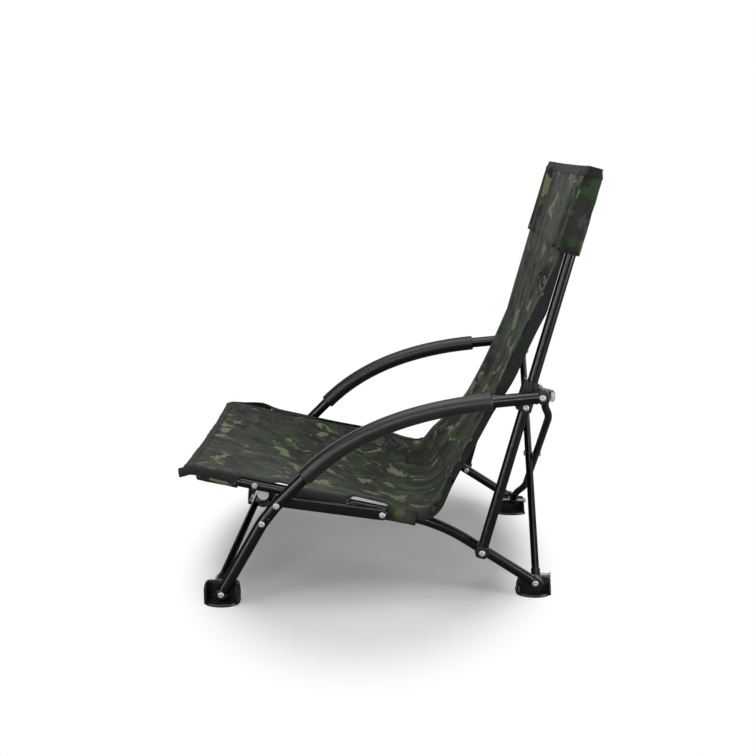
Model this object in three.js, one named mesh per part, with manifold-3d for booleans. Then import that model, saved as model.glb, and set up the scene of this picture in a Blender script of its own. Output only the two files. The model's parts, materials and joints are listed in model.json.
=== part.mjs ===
// Low folding fishing chair: curved arms, crossed braces front and rear, cloth sling seat and back.
// Millimetres. +Z up, the chair faces -Y, +X is the sitter's left. The ground is z = 0.
import * as THREE from 'three';
import { mergeVertices } from 'three/addons/utils/BufferGeometryUtils.js';
import Module from 'manifold-3d';

const wasm = await Module();
wasm.setup();

// Driving dimensions of one side of the frame
const rearPivotY = 269;
const rearPivotZ = 28.8;
const railRearLength = 207.6;
const railRearAngle = 32.64;
const railFrontLength = 448;
const railFrontAngle = 11.72;
const railBendRadius = 314;
const railX = 259.5;
const railDiameter = 19;
const uprightDiameter = 19;
const armDiameter = 22;
const tubeWall = 1.2;
const linkGap = 0.5;
const seatGap = 0.3;

// Pivots, as distances along the rail, the bar, the upright and the arm
const uprightFromRearPivot = 117.9;
const barFromBend = 106;
const hubFromBend = 340.9;
const barLength = 188.4;
const barAngle = 7.35;
const legTopLength = 42.5;
const legTopAngle = 51.8;
const legLength = 154.1;
const legAngle = 60.4;
const uprightLength = 704;
const uprightAngle = 75.15;
const collarHeight = 307;
const collarPinBehind = 19.4;
const armFrontLength = 74.5;
const armFrontAngle = 45.3;
const armRearLength = 90.1;
const armRearAngle = 6;
const armHandleShare = 0.344;

// Crossed braces: where their pins lie beside the side frame's pivots
const bracePinX = 238;
const rearBracePinX = 228;
const frontFootPinAhead = 11;
const frontFootPinRise = 1;
const frontHubPinBehind = 4.8;
const frontHubPinDrop = 34;
const rearFootPinBehind = 5.2;
const rearFootPinRise = 2.2;
const rearHubPinBehind = 19.1;
const rearHubPinDrop = 12.2;
const braceDiameter = 14;
const braceOffset = 15.5;
const jogStart = 48;
const jogEnd = 92;

// Fasteners
const rivetShank = 3;
const rivetHole = 3.5;
const rivetHead = 5.8;
const rivetHeadHeight = 2.3;
const rivetRimShare = 0.4;
const rivetCrownShare = 0.65;
const overrun = 5;
const overlap = 2;

// Counts of sides and steps
const tubeSides = 16;
const boreSides = 8;
const braceSides = 12;
const rivetSides = 8;
const bendSteps = 5;
const gripSteps = 10;

// Places and directions in the side plane, as vectors of y and z
const radians = THREE.MathUtils.degToRad;
const place = (y, z) => new THREE.Vector2(y, z);
const heading = (degrees) => place(Math.cos(radians(degrees)), Math.sin(radians(degrees)));
const along = (start, direction, distance) => start.clone().addScaledVector(direction, distance);
const across = (direction) => place(direction.y, -direction.x);
const inSide = (point, x) => new THREE.Vector3(x, point.x, point.y);

// Side frame: rail from the rear foot up and forward, with a wide bend
const rearPivot = place(rearPivotY, rearPivotZ);
const railRear = heading(180 - railRearAngle);
const railFront = heading(180 - railFrontAngle);
const railBend = along(rearPivot, railRear, railRearLength);
const railTip = along(railBend, railFront, railFrontLength);
const uprightPivot = along(rearPivot, railRear, uprightFromRearPivot);
const barPivot = along(railBend, railFront, barFromBend);
const hubPivot = along(railBend, railFront, hubFromBend);

// Bar, leg and arm
const armPivot = along(barPivot, heading(180 - barAngle), barLength);
const legDown = heading(legAngle + 180);
const legTopDown = heading(legTopAngle + 180);
const legRivet = along(armPivot, legTopDown, legTopLength);
const footPivot = along(legRivet, legDown, legLength);

// Upright and the collar's pin behind it
const uprightUp = heading(uprightAngle);
const uprightTop = along(uprightPivot, uprightUp, uprightLength);
const collarCentre = along(uprightPivot, uprightUp, collarHeight);
const collarPivot = along(collarCentre, across(uprightUp), collarPinBehind);

// Pins of the crossed braces, and the two planes that the braces lie in
const frontFootPin = footPivot.clone().add(place(-frontFootPinAhead, frontFootPinRise));
const frontHubPin = hubPivot.clone().add(place(frontHubPinBehind, -frontHubPinDrop));
const rearFootPin = rearPivot.clone().add(place(rearFootPinBehind, rearFootPinRise));
const rearHubPin = collarPivot.clone().add(place(rearHubPinBehind, -rearHubPinDrop));
const frontRise = frontHubPin.clone().sub(frontFootPin).normalize();
const rearRise = rearHubPin.clone().sub(rearFootPin).normalize();

// Layers from the middle outwards
const collarWall = 3.2;
const collarRadius = uprightDiameter / 2 + seatGap + collarWall;
const uprightX = railX + railDiameter / 2 + linkGap + uprightDiameter / 2;
const armX = uprightX + collarRadius + linkGap + armDiameter / 2;
const railInner = railX - railDiameter / 2;
const railOuter = railX + railDiameter / 2;
const armInner = armX - armDiameter / 2;
const armOuter = armX + armDiameter / 2;
const barThickness = 13;
const barHeight = 20;
const barX = (railOuter + armInner) / 2;

// Materials
const paint = (color, roughness, metalness) =>
  new THREE.MeshStandardMaterial({ color, roughness, metalness });
const blackTube = () => paint(0x141416, 0.35, 0.6);
const blackPlastic = () => paint(0x18181a, 0.55, 0);
const softGrip = () => paint(0x2b2b2d, 0.75, 0);
const zincRivet = () => paint(0xb9bbbd, 0.35, 0.9);
const camoCloth = () => paint(0x3a3c30, 0.9, 0);

// Solids from geometry, joined and cut
function toSolid(geometry) {
  const merged = plainMesh(geometry);
  const mesh = new wasm.Mesh({
    numProp: 3,
    vertProperties: new Float32Array(merged.attributes.position.array),
    triVerts: new Uint32Array(merged.index.array),
  });
  return new wasm.Manifold(mesh);
}

function toGeometry(solid) {
  const mesh = solid.getMesh();
  const geometry = new THREE.BufferGeometry();
  geometry.setAttribute('position', new THREE.BufferAttribute(mesh.vertProperties, 3));
  geometry.setIndex(new THREE.BufferAttribute(mesh.triVerts, 1));
  return geometry;
}

function join(...geometries) {
  return toGeometry(geometries.map(toSolid).reduce((sum, next) => sum.add(next)));
}

function cut(geometry, ...tools) {
  return toGeometry(tools.map(toSolid).reduce((rest, tool) => rest.subtract(tool), toSolid(geometry)));
}

// Positions and faces alone, with shared corners merged
function plainMesh(geometry) {
  const plain = geometry.clone();
  plain.deleteAttribute('normal');
  plain.deleteAttribute('uv');
  return mergeVertices(plain);
}

function mirrored(geometry) {
  const copy = plainMesh(geometry);
  copy.scale(-1, 1, 1);
  const faces = copy.index;
  for (let face = 0; face < faces.count; face += 3) {
    const second = faces.getX(face + 1);
    faces.setX(face + 1, faces.getX(face + 2));
    faces.setX(face + 2, second);
  }
  return copy;
}

// A path of straight runs, sampled at its own corners
class CornerPath extends THREE.Curve {
  constructor(points) {
    super();
    this.points = points;
  }

  getPoint(share, target = new THREE.Vector3()) {
    const last = this.points.length - 1;
    const run = Math.min(Math.floor(share * last), last - 1);
    return target.lerpVectors(this.points[run], this.points[run + 1], share * last - run);
  }

  getPointAt(share, target) {
    return this.getPoint(share, target);
  }

  getTangentAt(share, target) {
    return this.getTangent(share, target);
  }

  getSpacedPoints(steps) {
    return this.getPoints(steps);
  }
}

function circlePoints(radius, sides) {
  const points = [];
  for (let side = 0; side < sides; side += 1) {
    const turn = (2 * Math.PI * side) / sides;
    points.push(new THREE.Vector2(radius * Math.cos(turn), radius * Math.sin(turn)));
  }
  return points;
}

function swept(shape, points) {
  return new THREE.ExtrudeGeometry(shape, {
    steps: points.length - 1,
    extrudePath: new CornerPath(points),
    bevelEnabled: false,
  });
}

function tube(points, radius, wall, sides = tubeSides, innerSides = boreSides) {
  const section = new THREE.Shape(circlePoints(radius, sides));
  section.holes.push(new THREE.Path(circlePoints(radius - wall, innerSides)));
  return swept(section, points);
}

function rod(start, end, radius, sides = tubeSides) {
  return swept(new THREE.Shape(circlePoints(radius, sides)), [start, end]);
}

// An outline in the side plane, made thick along X
function plate(outline, innerX, outerX) {
  const geometry = new THREE.ExtrudeGeometry(new THREE.Shape(outline), {
    depth: outerX - innerX,
    steps: 1,
    bevelEnabled: false,
  });
  const sideAxes = new THREE.Matrix4().makeBasis(
    new THREE.Vector3(0, 1, 0),
    new THREE.Vector3(0, 0, 1),
    new THREE.Vector3(1, 0, 0),
  );
  geometry.applyMatrix4(sideAxes);
  geometry.translate(innerX, 0, 0);
  return geometry;
}

// Corner points of a box laid along a direction in the side plane
function strip(origin, direction, start, end, low, high) {
  const side = across(direction);
  const corner = (distance, offset) => along(along(origin, direction, distance), side, offset);
  return [corner(start, low), corner(start, high), corner(end, high), corner(end, low)].reverse();
}

// A rivet with a low domed head at each end, or at its start alone
function rivet(start, end, headAtEnd = true, headAtStart = true) {
  const length = start.distanceTo(end);
  const rim = rivetHeadHeight * rivetRimShare;
  const crown = rivetHead * rivetCrownShare;
  const profile = [new THREE.Vector2(0, headAtStart ? -rivetHeadHeight : 0)];
  if (headAtStart) {
    profile.push(new THREE.Vector2(crown, -rivetHeadHeight));
    profile.push(new THREE.Vector2(rivetHead, -rim));
    profile.push(new THREE.Vector2(rivetHead, 0));
  }
  profile.push(new THREE.Vector2(rivetShank, 0));
  profile.push(new THREE.Vector2(rivetShank, length));
  if (headAtEnd) {
    profile.push(new THREE.Vector2(rivetHead, length));
    profile.push(new THREE.Vector2(rivetHead, length + rim));
    profile.push(new THREE.Vector2(crown, length + rivetHeadHeight));
  }
  profile.push(new THREE.Vector2(0, length + (headAtEnd ? rivetHeadHeight : 0)));
  const geometry = new THREE.LatheGeometry(profile, rivetSides);
  const direction = end.clone().sub(start).normalize();
  geometry.applyQuaternion(new THREE.Quaternion().setFromUnitVectors(new THREE.Vector3(0, 1, 0), direction));
  geometry.translate(start.x, start.y, start.z);
  return geometry;
}

const sideRivet = (point, innerX, outerX, headOutside = true, headInside = true) =>
  rivet(inSide(point, innerX), inSide(point, outerX), headOutside, headInside);

const sideHole = (point, innerX, outerX) =>
  rod(inSide(point, innerX - overrun), inSide(point, outerX + overrun), rivetHole, rivetSides);

// A block that ends a tube and holds its pivot, with a plug up the tube
const fittingPlug = 14;
const fittingCornerShare = 0.16;

function endFitting(pivot, outward, x, width, thickness, tubeEnd, blockEnd, boreRadius) {
  const corner = width * fittingCornerShare;
  const side = across(outward);
  const at = (distance, offset) => along(along(pivot, outward, distance), side, offset);
  const half = width / 2;
  const start = tubeEnd + seatGap;
  const outline = [
    at(start, -half),
    at(start, half),
    at(blockEnd - corner, half),
    at(blockEnd, half - corner),
    at(blockEnd, corner - half),
    at(blockEnd - corner, -half),
  ].reverse();
  const block = plate(outline, x - thickness / 2, x + thickness / 2);
  const plugEnd = along(pivot, outward, tubeEnd - fittingPlug);
  const plugStart = along(pivot, outward, start + overlap);
  const plug = rod(inSide(plugStart, x), inSide(plugEnd, x), boreRadius, boreSides);
  return cut(join(block, plug), sideHole(pivot, x - thickness / 2, x + thickness / 2));
}

// The bore inside a tube has flats, so a plug is this much smaller
const plugRadius = (bore) => bore * Math.cos(Math.PI / boreSides) - seatGap;

// Rail
const fittingStart = 6;
const fittingReach = 15;
const railFittingWidth = 21;
const railCut = along(rearPivot, railRear, fittingStart);
const bendTangent = railBendRadius * Math.tan(radians((railRearAngle - railFrontAngle) / 2));
const bendStart = along(railBend, railRear, -bendTangent);
const bendEnd = along(railBend, railFront, bendTangent);

function bendPoints(start, corner, end, steps, x) {
  const curve = new THREE.QuadraticBezierCurve(start, corner, end);
  return curve.getPoints(steps).map((point) => inSide(point, x));
}

function makeRail() {
  const points = [
    inSide(railCut, railX),
    ...bendPoints(bendStart, railBend, bendEnd, bendSteps, railX),
    inSide(railTip, railX),
  ];
  const pivots = [uprightPivot, barPivot, hubPivot];
  const holes = pivots.map((pivot) => sideHole(pivot, railInner, railOuter));
  return cut(tube(points, railDiameter / 2, tubeWall), ...holes);
}

function makeRailFitting() {
  const rearward = railRear.clone().negate();
  const plug = plugRadius(railDiameter / 2 - tubeWall);
  const size = [railFittingWidth, railDiameter, -fittingStart, fittingReach, plug];
  return endFitting(rearPivot, rearward, railX, ...size);
}

// Bar between the rail and the leg, a flat channel with round ends, open inwards
const barWall = 1.8;
const barEndSteps = 6;

function makeBar() {
  const half = barHeight / 2;
  const toArm = heading(180 - barAngle);
  const outline = [];
  for (let step = 0; step <= barEndSteps; step += 1) {
    const turn = heading(270 - barAngle - (180 * step) / barEndSteps);
    outline.push(along(armPivot, turn, half));
  }
  for (let step = 0; step <= barEndSteps; step += 1) {
    const turn = heading(90 - barAngle - (180 * step) / barEndSteps);
    outline.push(along(barPivot, turn, half));
  }
  const body = plate(outline.reverse(), barX - barThickness / 2, barX + barThickness / 2);
  const hollowStart = along(armPivot, toArm, -barHeight);
  const hollowLength = barLength - 2 * barHeight;
  const hollow = strip(hollowStart, toArm.clone().negate(), 0, hollowLength, barWall - half, half - barWall);
  const inner = plate(hollow, barX - barThickness / 2 - overrun, barX + barThickness / 2 - barWall);
  return cut(
    body,
    inner,
    sideHole(armPivot, barX - barThickness, barX + barThickness),
    sideHole(barPivot, barX - barThickness, barX + barThickness),
  );
}

// Front leg, with the arm tube's narrowed end riveted inside its top
const legWall = 1;
const spigotRadius = 9.4;
const spigotWall = 1.5;
const spigotLength = 30;
const seamAboveRivet = 16;
const armWall = 1.7;
const legUp = legDown.clone().negate();
const legTopUp = legTopDown.clone().negate();
const seam = along(legRivet, legTopUp, seamAboveRivet);

function makeLeg() {
  const start = along(footPivot, legUp, fittingStart);
  const knee = along(legRivet, legDown, spigotLength);
  const top = along(seam, legTopDown, seatGap);
  const points = [start, knee, legRivet, top].map((point) => inSide(point, armX));
  const shell = tube(points, armDiameter / 2, legWall, tubeSides, tubeSides);
  return cut(shell, sideHole(legRivet, armInner, armOuter));
}

function armCurve() {
  const gripStart = along(armPivot, heading(armFrontAngle), armFrontLength);
  const gripEnd = along(collarPivot, heading(armRearAngle + 180), armRearLength);
  const handle = armHandleShare * gripStart.distanceTo(gripEnd);
  return new THREE.CubicBezierCurve(
    gripStart,
    along(gripStart, heading(armFrontAngle), handle),
    along(gripEnd, heading(armRearAngle + 180), handle),
    gripEnd,
  );
}

function makeArm() {
  const end = along(collarPivot, heading(armRearAngle + 180), fittingStart);
  const curve = armCurve().getPoints(gripSteps);
  const points = [seam, armPivot, ...curve, end].map((point) => inSide(point, armX));
  const main = tube(points, armDiameter / 2, armWall);
  const inward = along(seam, legTopUp, fittingPlug / 2);
  const low = along(legRivet, legDown, spigotLength - seamAboveRivet);
  const spigot = tube([low, legRivet, inward].map((point) => inSide(point, armX)), spigotRadius, spigotWall);
  return cut(
    join(main, spigot),
    sideHole(armPivot, armInner, armOuter),
    sideHole(legRivet, armInner, armOuter),
  );
}

// Soft grip over the arm's curve
const gripDiameter = 31;
const gripOverhang = 4;

function makeGrip() {
  const curve = armCurve();
  const points = curve.getPoints(gripSteps);
  points[0] = along(points[0], heading(armFrontAngle + 180), gripOverhang);
  points[gripSteps] = along(points[gripSteps], heading(armRearAngle), gripOverhang);
  const bore = (armDiameter / 2 + seatGap) / Math.cos(Math.PI / tubeSides);
  const path = points.map((point) => inSide(point, armX));
  return tube(path, gripDiameter / 2, gripDiameter / 2 - bore, tubeSides, tubeSides);
}

const armFittingReach = 12.6;
const legFittingReach = 8;
const armFittingThickness = 21;

function makeArmFitting() {
  const plug = plugRadius(armDiameter / 2 - armWall);
  const rearward = heading(armRearAngle);
  const size = [armDiameter, armFittingThickness, -fittingStart, armFittingReach, plug];
  return endFitting(collarPivot, rearward, armX, ...size);
}

function makeLegFitting() {
  const plug = plugRadius(armDiameter / 2 - legWall);
  const size = [armDiameter, armFittingThickness, -fittingStart, legFittingReach, plug];
  return endFitting(footPivot, legDown, armX, ...size);
}

// Upright, with its foot fitting
const uprightCut = 12;

function makeUpright() {
  const start = along(uprightPivot, uprightUp, uprightCut);
  return tube([inSide(start, uprightX), inSide(uprightTop, uprightX)], uprightDiameter / 2, tubeWall);
}

const uprightFittingWidth = 23;
const uprightFittingReach = 10;

function makeUprightFitting() {
  const plug = plugRadius(uprightDiameter / 2 - tubeWall);
  const size = [uprightFittingWidth, uprightDiameter - linkGap, -uprightCut, uprightFittingReach, plug];
  return endFitting(uprightPivot, uprightUp.clone().negate(), uprightX, ...size);
}

// Collar that slides on the upright and carries the arm's rear end
const collarLow = 270;
const collarTop = 324;
const wingInner = uprightX - collarRadius;
const wingOuter = uprightX + collarRadius;
const wingRadius = 11;
const collarRivetHeight = 279;
const wingInset = 1;
const wingRootShare = 1.6;
const noseReach = 2;

function makeCollar() {
  const low = along(uprightPivot, uprightUp, collarLow);
  const top = along(uprightPivot, uprightUp, collarTop);
  const sleeve = rod(inSide(low, uprightX), inSide(top, uprightX), collarRadius, tubeSides);
  const behind = across(uprightUp);
  const from = collarHeight - wingRadius * wingRootShare;
  const outline = strip(uprightPivot, uprightUp, from, collarTop - overrun, 0, collarPinBehind);
  const wing = plate(outline, wingInner + wingInset, wingOuter - wingInset);
  const eye = rod(inSide(collarPivot, wingInner), inSide(collarPivot, wingOuter), wingRadius, tubeSides);
  const tip = along(along(uprightPivot, uprightUp, collarLow + overrun), behind, -collarRadius - noseReach);
  const nose = plate(
    [
      tip,
      along(along(uprightPivot, uprightUp, collarLow), behind, 0),
      along(along(uprightPivot, uprightUp, collarTop - overrun), behind, 0),
      along(along(uprightPivot, uprightUp, collarTop - overrun), behind, -collarRadius),
    ],
    uprightX - collarRadius / 2,
    uprightX + collarRadius / 2,
  );
  const bore = uprightDiameter / 2 + seatGap;
  const hollow = rod(
    inSide(along(low, uprightUp, -overrun), uprightX),
    inSide(along(top, uprightUp, overrun), uprightX),
    bore / Math.cos(Math.PI / tubeSides),
    tubeSides,
  );
  const rivetSeat = along(uprightPivot, uprightUp, collarRivetHeight);
  const seat = sideHole(rivetSeat, uprightX + overrun, wingOuter);
  return cut(join(sleeve, wing, eye, nose), hollow, sideHole(collarPivot, wingInner, wingOuter), seat);
}

// Hub behind the arm's rear end: one arm of it lies behind the brace's top
const rearHubOuter = wingInner - linkGap;
const capRadius = 8.5;
const rearHubClearance = 4.5;
const rearHubInner = rearBracePinX + capRadius + rearHubClearance;
const capReach = 9;
const capLength = 21;
const backPlate = 5;
const hubFace = capRadius + seatGap;
const rearHubBelow = 11;
const rearHubAbove = 19;
const rearHubMargin = 3;
const rearEyeRadius = 10;
const webStartRise = 2;
const webEndRise = 9;

function makeRearHub() {
  const behind = across(rearRise);
  const plateOutline = strip(rearHubPin, rearRise, -rearHubBelow, rearHubAbove, hubFace, hubFace + backPlate);
  const back = plate(plateOutline, rearBracePinX - capRadius - rearHubMargin, rearHubOuter);
  const eyeEnds = [rearHubInner, rearHubOuter].map((x) => inSide(collarPivot, x));
  const eye = rod(...eyeEnds, rearEyeRadius, tubeSides);
  const webStart = along(rearHubPin, rearRise, webStartRise);
  const webEnd = along(rearHubPin, rearRise, rearHubAbove);
  const web = plate(
    [
      along(collarPivot, behind, 0),
      along(collarPivot, rearRise, webEndRise),
      along(webEnd, behind, hubFace + backPlate / 2),
      along(webStart, behind, hubFace + backPlate / 2),
    ].reverse(),
    rearHubInner,
    rearHubOuter,
  );
  const hole = rod(
    inSide(along(rearHubPin, behind, hubFace - overrun), rearBracePinX),
    inSide(along(rearHubPin, behind, hubFace + backPlate + overrun), rearBracePinX),
    rivetHole,
    rivetSides,
  );
  return cut(join(back, eye, web), sideHole(collarPivot, rearHubInner, rearHubOuter), hole);
}

// Hub under the rail: a fork that holds the front brace's top
const forkWall = 5;
const forkGap = capRadius + linkGap;
const forkMargin = 1.5;
const forkInner = bracePinX - capRadius - forkMargin;
const forkOuter = railInner - linkGap;
const forkBelow = 8;
const forkAbove = 28;
const rearLugAbove = 19;
const bridgeThickness = 5.5;
const frontEyeRadius = 9;

function makeFrontHub() {
  const outer = forkGap + forkWall;
  const ahead = strip(frontHubPin, frontRise, -forkBelow, forkAbove, -outer, -forkGap);
  const rearLug = strip(frontHubPin, frontRise, -forkBelow, rearLugAbove, forkGap, outer);
  const bridge = strip(frontHubPin, frontRise, rearLugAbove - bridgeThickness, rearLugAbove, -outer, outer);
  const eye = rod(inSide(hubPivot, forkInner), inSide(hubPivot, forkOuter), frontEyeRadius, tubeSides);
  const parts = [ahead, rearLug, bridge].map((outline) => plate(outline, forkInner, forkOuter));
  const behind = across(frontRise);
  const pinHole = rod(
    inSide(along(frontHubPin, behind, -outer - overrun), bracePinX),
    inSide(along(frontHubPin, behind, outer + overrun), bracePinX),
    rivetHole,
    rivetSides,
  );
  return cut(join(eye, ...parts), sideHole(hubPivot, forkInner, forkOuter), pinHole);
}

// Feet: a rounded pad, an upright wall that the tube is riveted to, and end ribs
const padThickness = 5;
const wallThickness = 6;
const ribThickness = 4;
const footLength = 65;
const deepHalf = 34;
const shallowHalf = 18;
const padCorner = 20;
const padCornerSteps = 4;

function roundedBox(xLow, xHigh, yLow, yHigh, corner) {
  const shape = new THREE.Shape();
  shape.moveTo(xLow + corner, yLow);
  shape.lineTo(xHigh - corner, yLow);
  shape.absarc(xHigh - corner, yLow + corner, corner, -Math.PI / 2, 0);
  shape.lineTo(xHigh, yHigh - corner);
  shape.absarc(xHigh - corner, yHigh - corner, corner, 0, Math.PI / 2);
  shape.lineTo(xLow + corner, yHigh);
  shape.absarc(xLow + corner, yHigh - corner, corner, Math.PI / 2, Math.PI);
  shape.lineTo(xLow, yLow + corner);
  shape.absarc(xLow + corner, yLow + corner, corner, Math.PI, 1.5 * Math.PI);
  return shape;
}

function pad(xLow, xHigh, yMiddle) {
  const shape = roundedBox(xLow, xHigh, yMiddle - footLength / 2, yMiddle + footLength / 2, padCorner);
  return new THREE.ExtrudeGeometry(shape, {
    depth: padThickness,
    steps: 1,
    curveSegments: padCornerSteps,
    bevelEnabled: false,
  });
}

// A box between two corners
function box(xLow, xHigh, yLow, yHigh, zLow, zHigh) {
  const geometry = new THREE.BoxGeometry(xHigh - xLow, yHigh - yLow, zHigh - zLow);
  geometry.translate((xLow + xHigh) / 2, (yLow + yHigh) / 2, (zLow + zHigh) / 2);
  return geometry;
}

const wallMargin = 2;
const ribReach = 14;
const frontWallRise = 19.5;

function makeFrontFoot() {
  const outer = armInner - linkGap;
  const inner = outer - wallThickness;
  const low = footPivot.x - footLength / 2 + wallMargin;
  const high = footPivot.x + footLength / 2 - wallMargin;
  const height = footPivot.y + armDiameter / 2;
  const sunk = padThickness / 2;
  const wall = box(inner, outer, low, high, sunk, footPivot.y + frontWallRise);
  const ribs = [low, high - ribThickness].map((start) =>
    box(inner - ribReach + wallMargin, outer + ribReach, start, start + ribThickness, sunk, height));
  const lug = plate(
    strip(frontFootPin, frontRise, -capReach, capReach, capRadius + seatGap, capRadius + seatGap + backPlate),
    bracePinX - capRadius - wallMargin,
    outer - wallMargin,
  );
  const behind = across(frontRise);
  const pinHole = rod(
    inSide(along(frontFootPin, behind, capRadius - overrun), bracePinX),
    inSide(along(frontFootPin, behind, capRadius + backPlate + overrun), bracePinX),
    rivetHole,
    rivetSides,
  );
  const base = pad(inner - shallowHalf + wallMargin, outer + deepHalf, footPivot.x);
  return cut(join(base, wall, ...ribs, lug), sideHole(footPivot, inner, outer), pinHole);
}

const pinMargin = 8;

function makeRearFoot() {
  const outer = railInner - linkGap;
  const inner = outer - wallThickness;
  const low = rearPivot.x - footLength / 2 + wallMargin;
  const high = rearPivot.x + footLength / 2 - wallMargin;
  const height = rearPivot.y + railDiameter / 2 + wallMargin;
  const sunk = padThickness / 2;
  const wall = box(inner, outer, low, high, sunk, height);
  const ribs = [low, high - ribThickness].map((start) =>
    box(rearBracePinX - pinMargin, outer, start, start + ribThickness, sunk, height));
  const ribSpan = footLength / 2;
  const behind = across(rearRise);
  const pinHole = rod(
    inSide(along(rearFootPin, behind, -ribSpan - 2 * overrun), rearBracePinX),
    inSide(along(rearFootPin, behind, ribSpan + overrun), rearBracePinX),
    rivetHole,
    rivetSides,
  );
  const base = pad(inner - deepHalf, outer + shallowHalf, rearPivot.x);
  return cut(join(base, wall, ...ribs), sideHole(rearPivot, inner, outer), pinHole);
}

// Braces: straight, or set back along their middle so that they pass each other
function braceLine(footPin, hubPin, rise, pinX, setBack) {
  const start = inSide(footPin, pinX);
  const end = inSide(hubPin, -pinX);
  const direction = end.clone().sub(start).normalize();
  const length = start.distanceTo(end);
  const behind = inSide(across(rise), 0);
  const at = (distance, offset) =>
    start.clone().addScaledVector(direction, distance).addScaledVector(behind, offset);
  return { at, length, setBack };
}

function makeBrace(line) {
  const { at, length, setBack } = line;
  const points = [at(-capReach, 0)];
  if (setBack > 0) {
    points.push(at(jogStart, 0), at(jogEnd, setBack), at(length - jogEnd, setBack), at(length - jogStart, 0));
  }
  points.push(at(length + capReach, 0));
  const reach = braceDiameter / 2 + overrun;
  const hole = (distance, offset) =>
    rod(at(distance, offset - reach), at(distance, offset + reach), rivetHole, rivetSides);
  const body = tube(points, braceDiameter / 2, tubeWall, braceSides, rivetSides);
  const caps = [-capReach, length - capLength + capReach].map((distance) =>
    rod(at(distance, 0), at(distance + capLength, 0), capRadius, braceSides));
  return cut(join(body, ...caps), hole(0, 0), hole(length, 0), hole(length / 2, setBack));
}

const frontStraight = braceLine(frontFootPin, frontHubPin, frontRise, bracePinX, 0);
const frontBowed = braceLine(frontFootPin, frontHubPin, frontRise, -bracePinX, braceOffset);
const rearStraight = braceLine(rearFootPin, rearHubPin, rearRise, rearBracePinX, 0);
const rearBowed = braceLine(rearFootPin, rearHubPin, rearRise, -rearBracePinX, braceOffset);

// Pins along the direction square to a pair of braces
function planePin(pin, rise, x, low, high) {
  const behind = across(rise);
  return rivet(inSide(along(pin, behind, low), x), inSide(along(pin, behind, high), x));
}

// Sling cloth: its edge line follows the rail, then runs up in front of the upright
const clothThickness = 2;
const clothRise = railDiameter / 2 + seatGap + clothThickness / 2;
const slingMargin = 2;
const backMargin = 5;
const slingHalfWidth = railOuter + slingMargin;
const bellyHalfWidth = railInner - slingMargin;
const backHalfWidth = uprightX + backMargin;
const seatSag = 38;
const backSag = 34;
const frontOverhang = 26;
const frontDip = 6;
const edgeLift = 3;
const cornerFromBend = 30;
const cornerLift = 5.5;
const backLowHeight = 140;
const backLowAhead = 86;
const backMidHeight = 265;
const backMidAhead = 52;
const backHighHeight = 403;
const backHighAhead = 29;
const backTopAhead = 13.5;
const pocketDrop = 149;
const clothLengthSteps = 24;
const clothWidthSteps = 14;
const foldDepth = 5;
const foldCount = 5;
const foldCentreShare = 0.6;
const foldSpreadShare = 0.14;
const sagPeakSeatShare = 0.36;
const sagPeakBackShare = 0.74;
const sagSpreadShare = 0.2;
const cornerSag = 14;
const cornerShare = 0.58;
const frontSag = 8;
const widenShare = 0.53;

function slingEdge() {
  const raised = across(railFront);
  const overRail = (distance, lift) => along(along(railBend, railFront, distance), raised, clothRise + lift);
  const ahead = across(uprightUp).negate();
  const beforeUpright = (height, distance) => along(along(uprightPivot, uprightUp, height), ahead, distance);
  return new THREE.CatmullRomCurve3(
    [
      overRail(railFrontLength + frontOverhang, -frontDip),
      overRail(railFrontLength + frontOverhang / 2, 0),
      overRail(hubFromBend, edgeLift),
      overRail((hubFromBend + barFromBend) / 2, 0),
      overRail(barFromBend, edgeLift),
      overRail(bendTangent, 0),
      overRail(cornerFromBend, cornerLift),
      beforeUpright(backLowHeight, backLowAhead),
      beforeUpright(backMidHeight, backMidAhead),
      beforeUpright(backHighHeight, backHighAhead),
      beforeUpright(uprightLength - pocketDrop - seatGap, backTopAhead),
    ].map((point) => inSide(point, 0)),
    false,
    'centripetal',
  );
}

const bump = (share, peak, spread) => Math.exp(-(((share - peak) / spread) ** 2));

function sagAt(share) {
  const seat = seatSag * bump(share, sagPeakSeatShare, sagSpreadShare);
  const back = backSag * bump(share, sagPeakBackShare, sagSpreadShare);
  const front = frontSag * bump(share, 0, sagSpreadShare);
  const corner = cornerSag * bump(share, cornerShare, sagSpreadShare);
  return seat + back + front + corner;
}

function slingPoint(edge, share, side) {
  const point = edge.getPointAt(share);
  const tangent = edge.getTangentAt(share);
  const outward = new THREE.Vector3(0, tangent.z, -tangent.y);
  const widened = THREE.MathUtils.smoothstep(share, widenShare, 1);
  const width = THREE.MathUtils.lerp(slingHalfWidth, backHalfWidth, widened);
  const belly = Math.max(0, 1 - (side * width / bellyHalfWidth) ** 2);
  const wave = Math.cos(foldCount * Math.PI * side);
  const folds = foldDepth * wave * bump(share, foldCentreShare, foldSpreadShare);
  point.addScaledVector(outward, sagAt(share) * belly + folds * belly);
  point.x = side * width;
  return { point, outward };
}

// Columns across the cloth: a flat strip over each rail, and even steps between
function columnSide(column) {
  const flat = bellyHalfWidth / slingHalfWidth;
  if (column === 0) return -1;
  if (column === clothWidthSteps) return 1;
  return flat * ((2 * (column - 1)) / (clothWidthSteps - 2) - 1);
}

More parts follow.
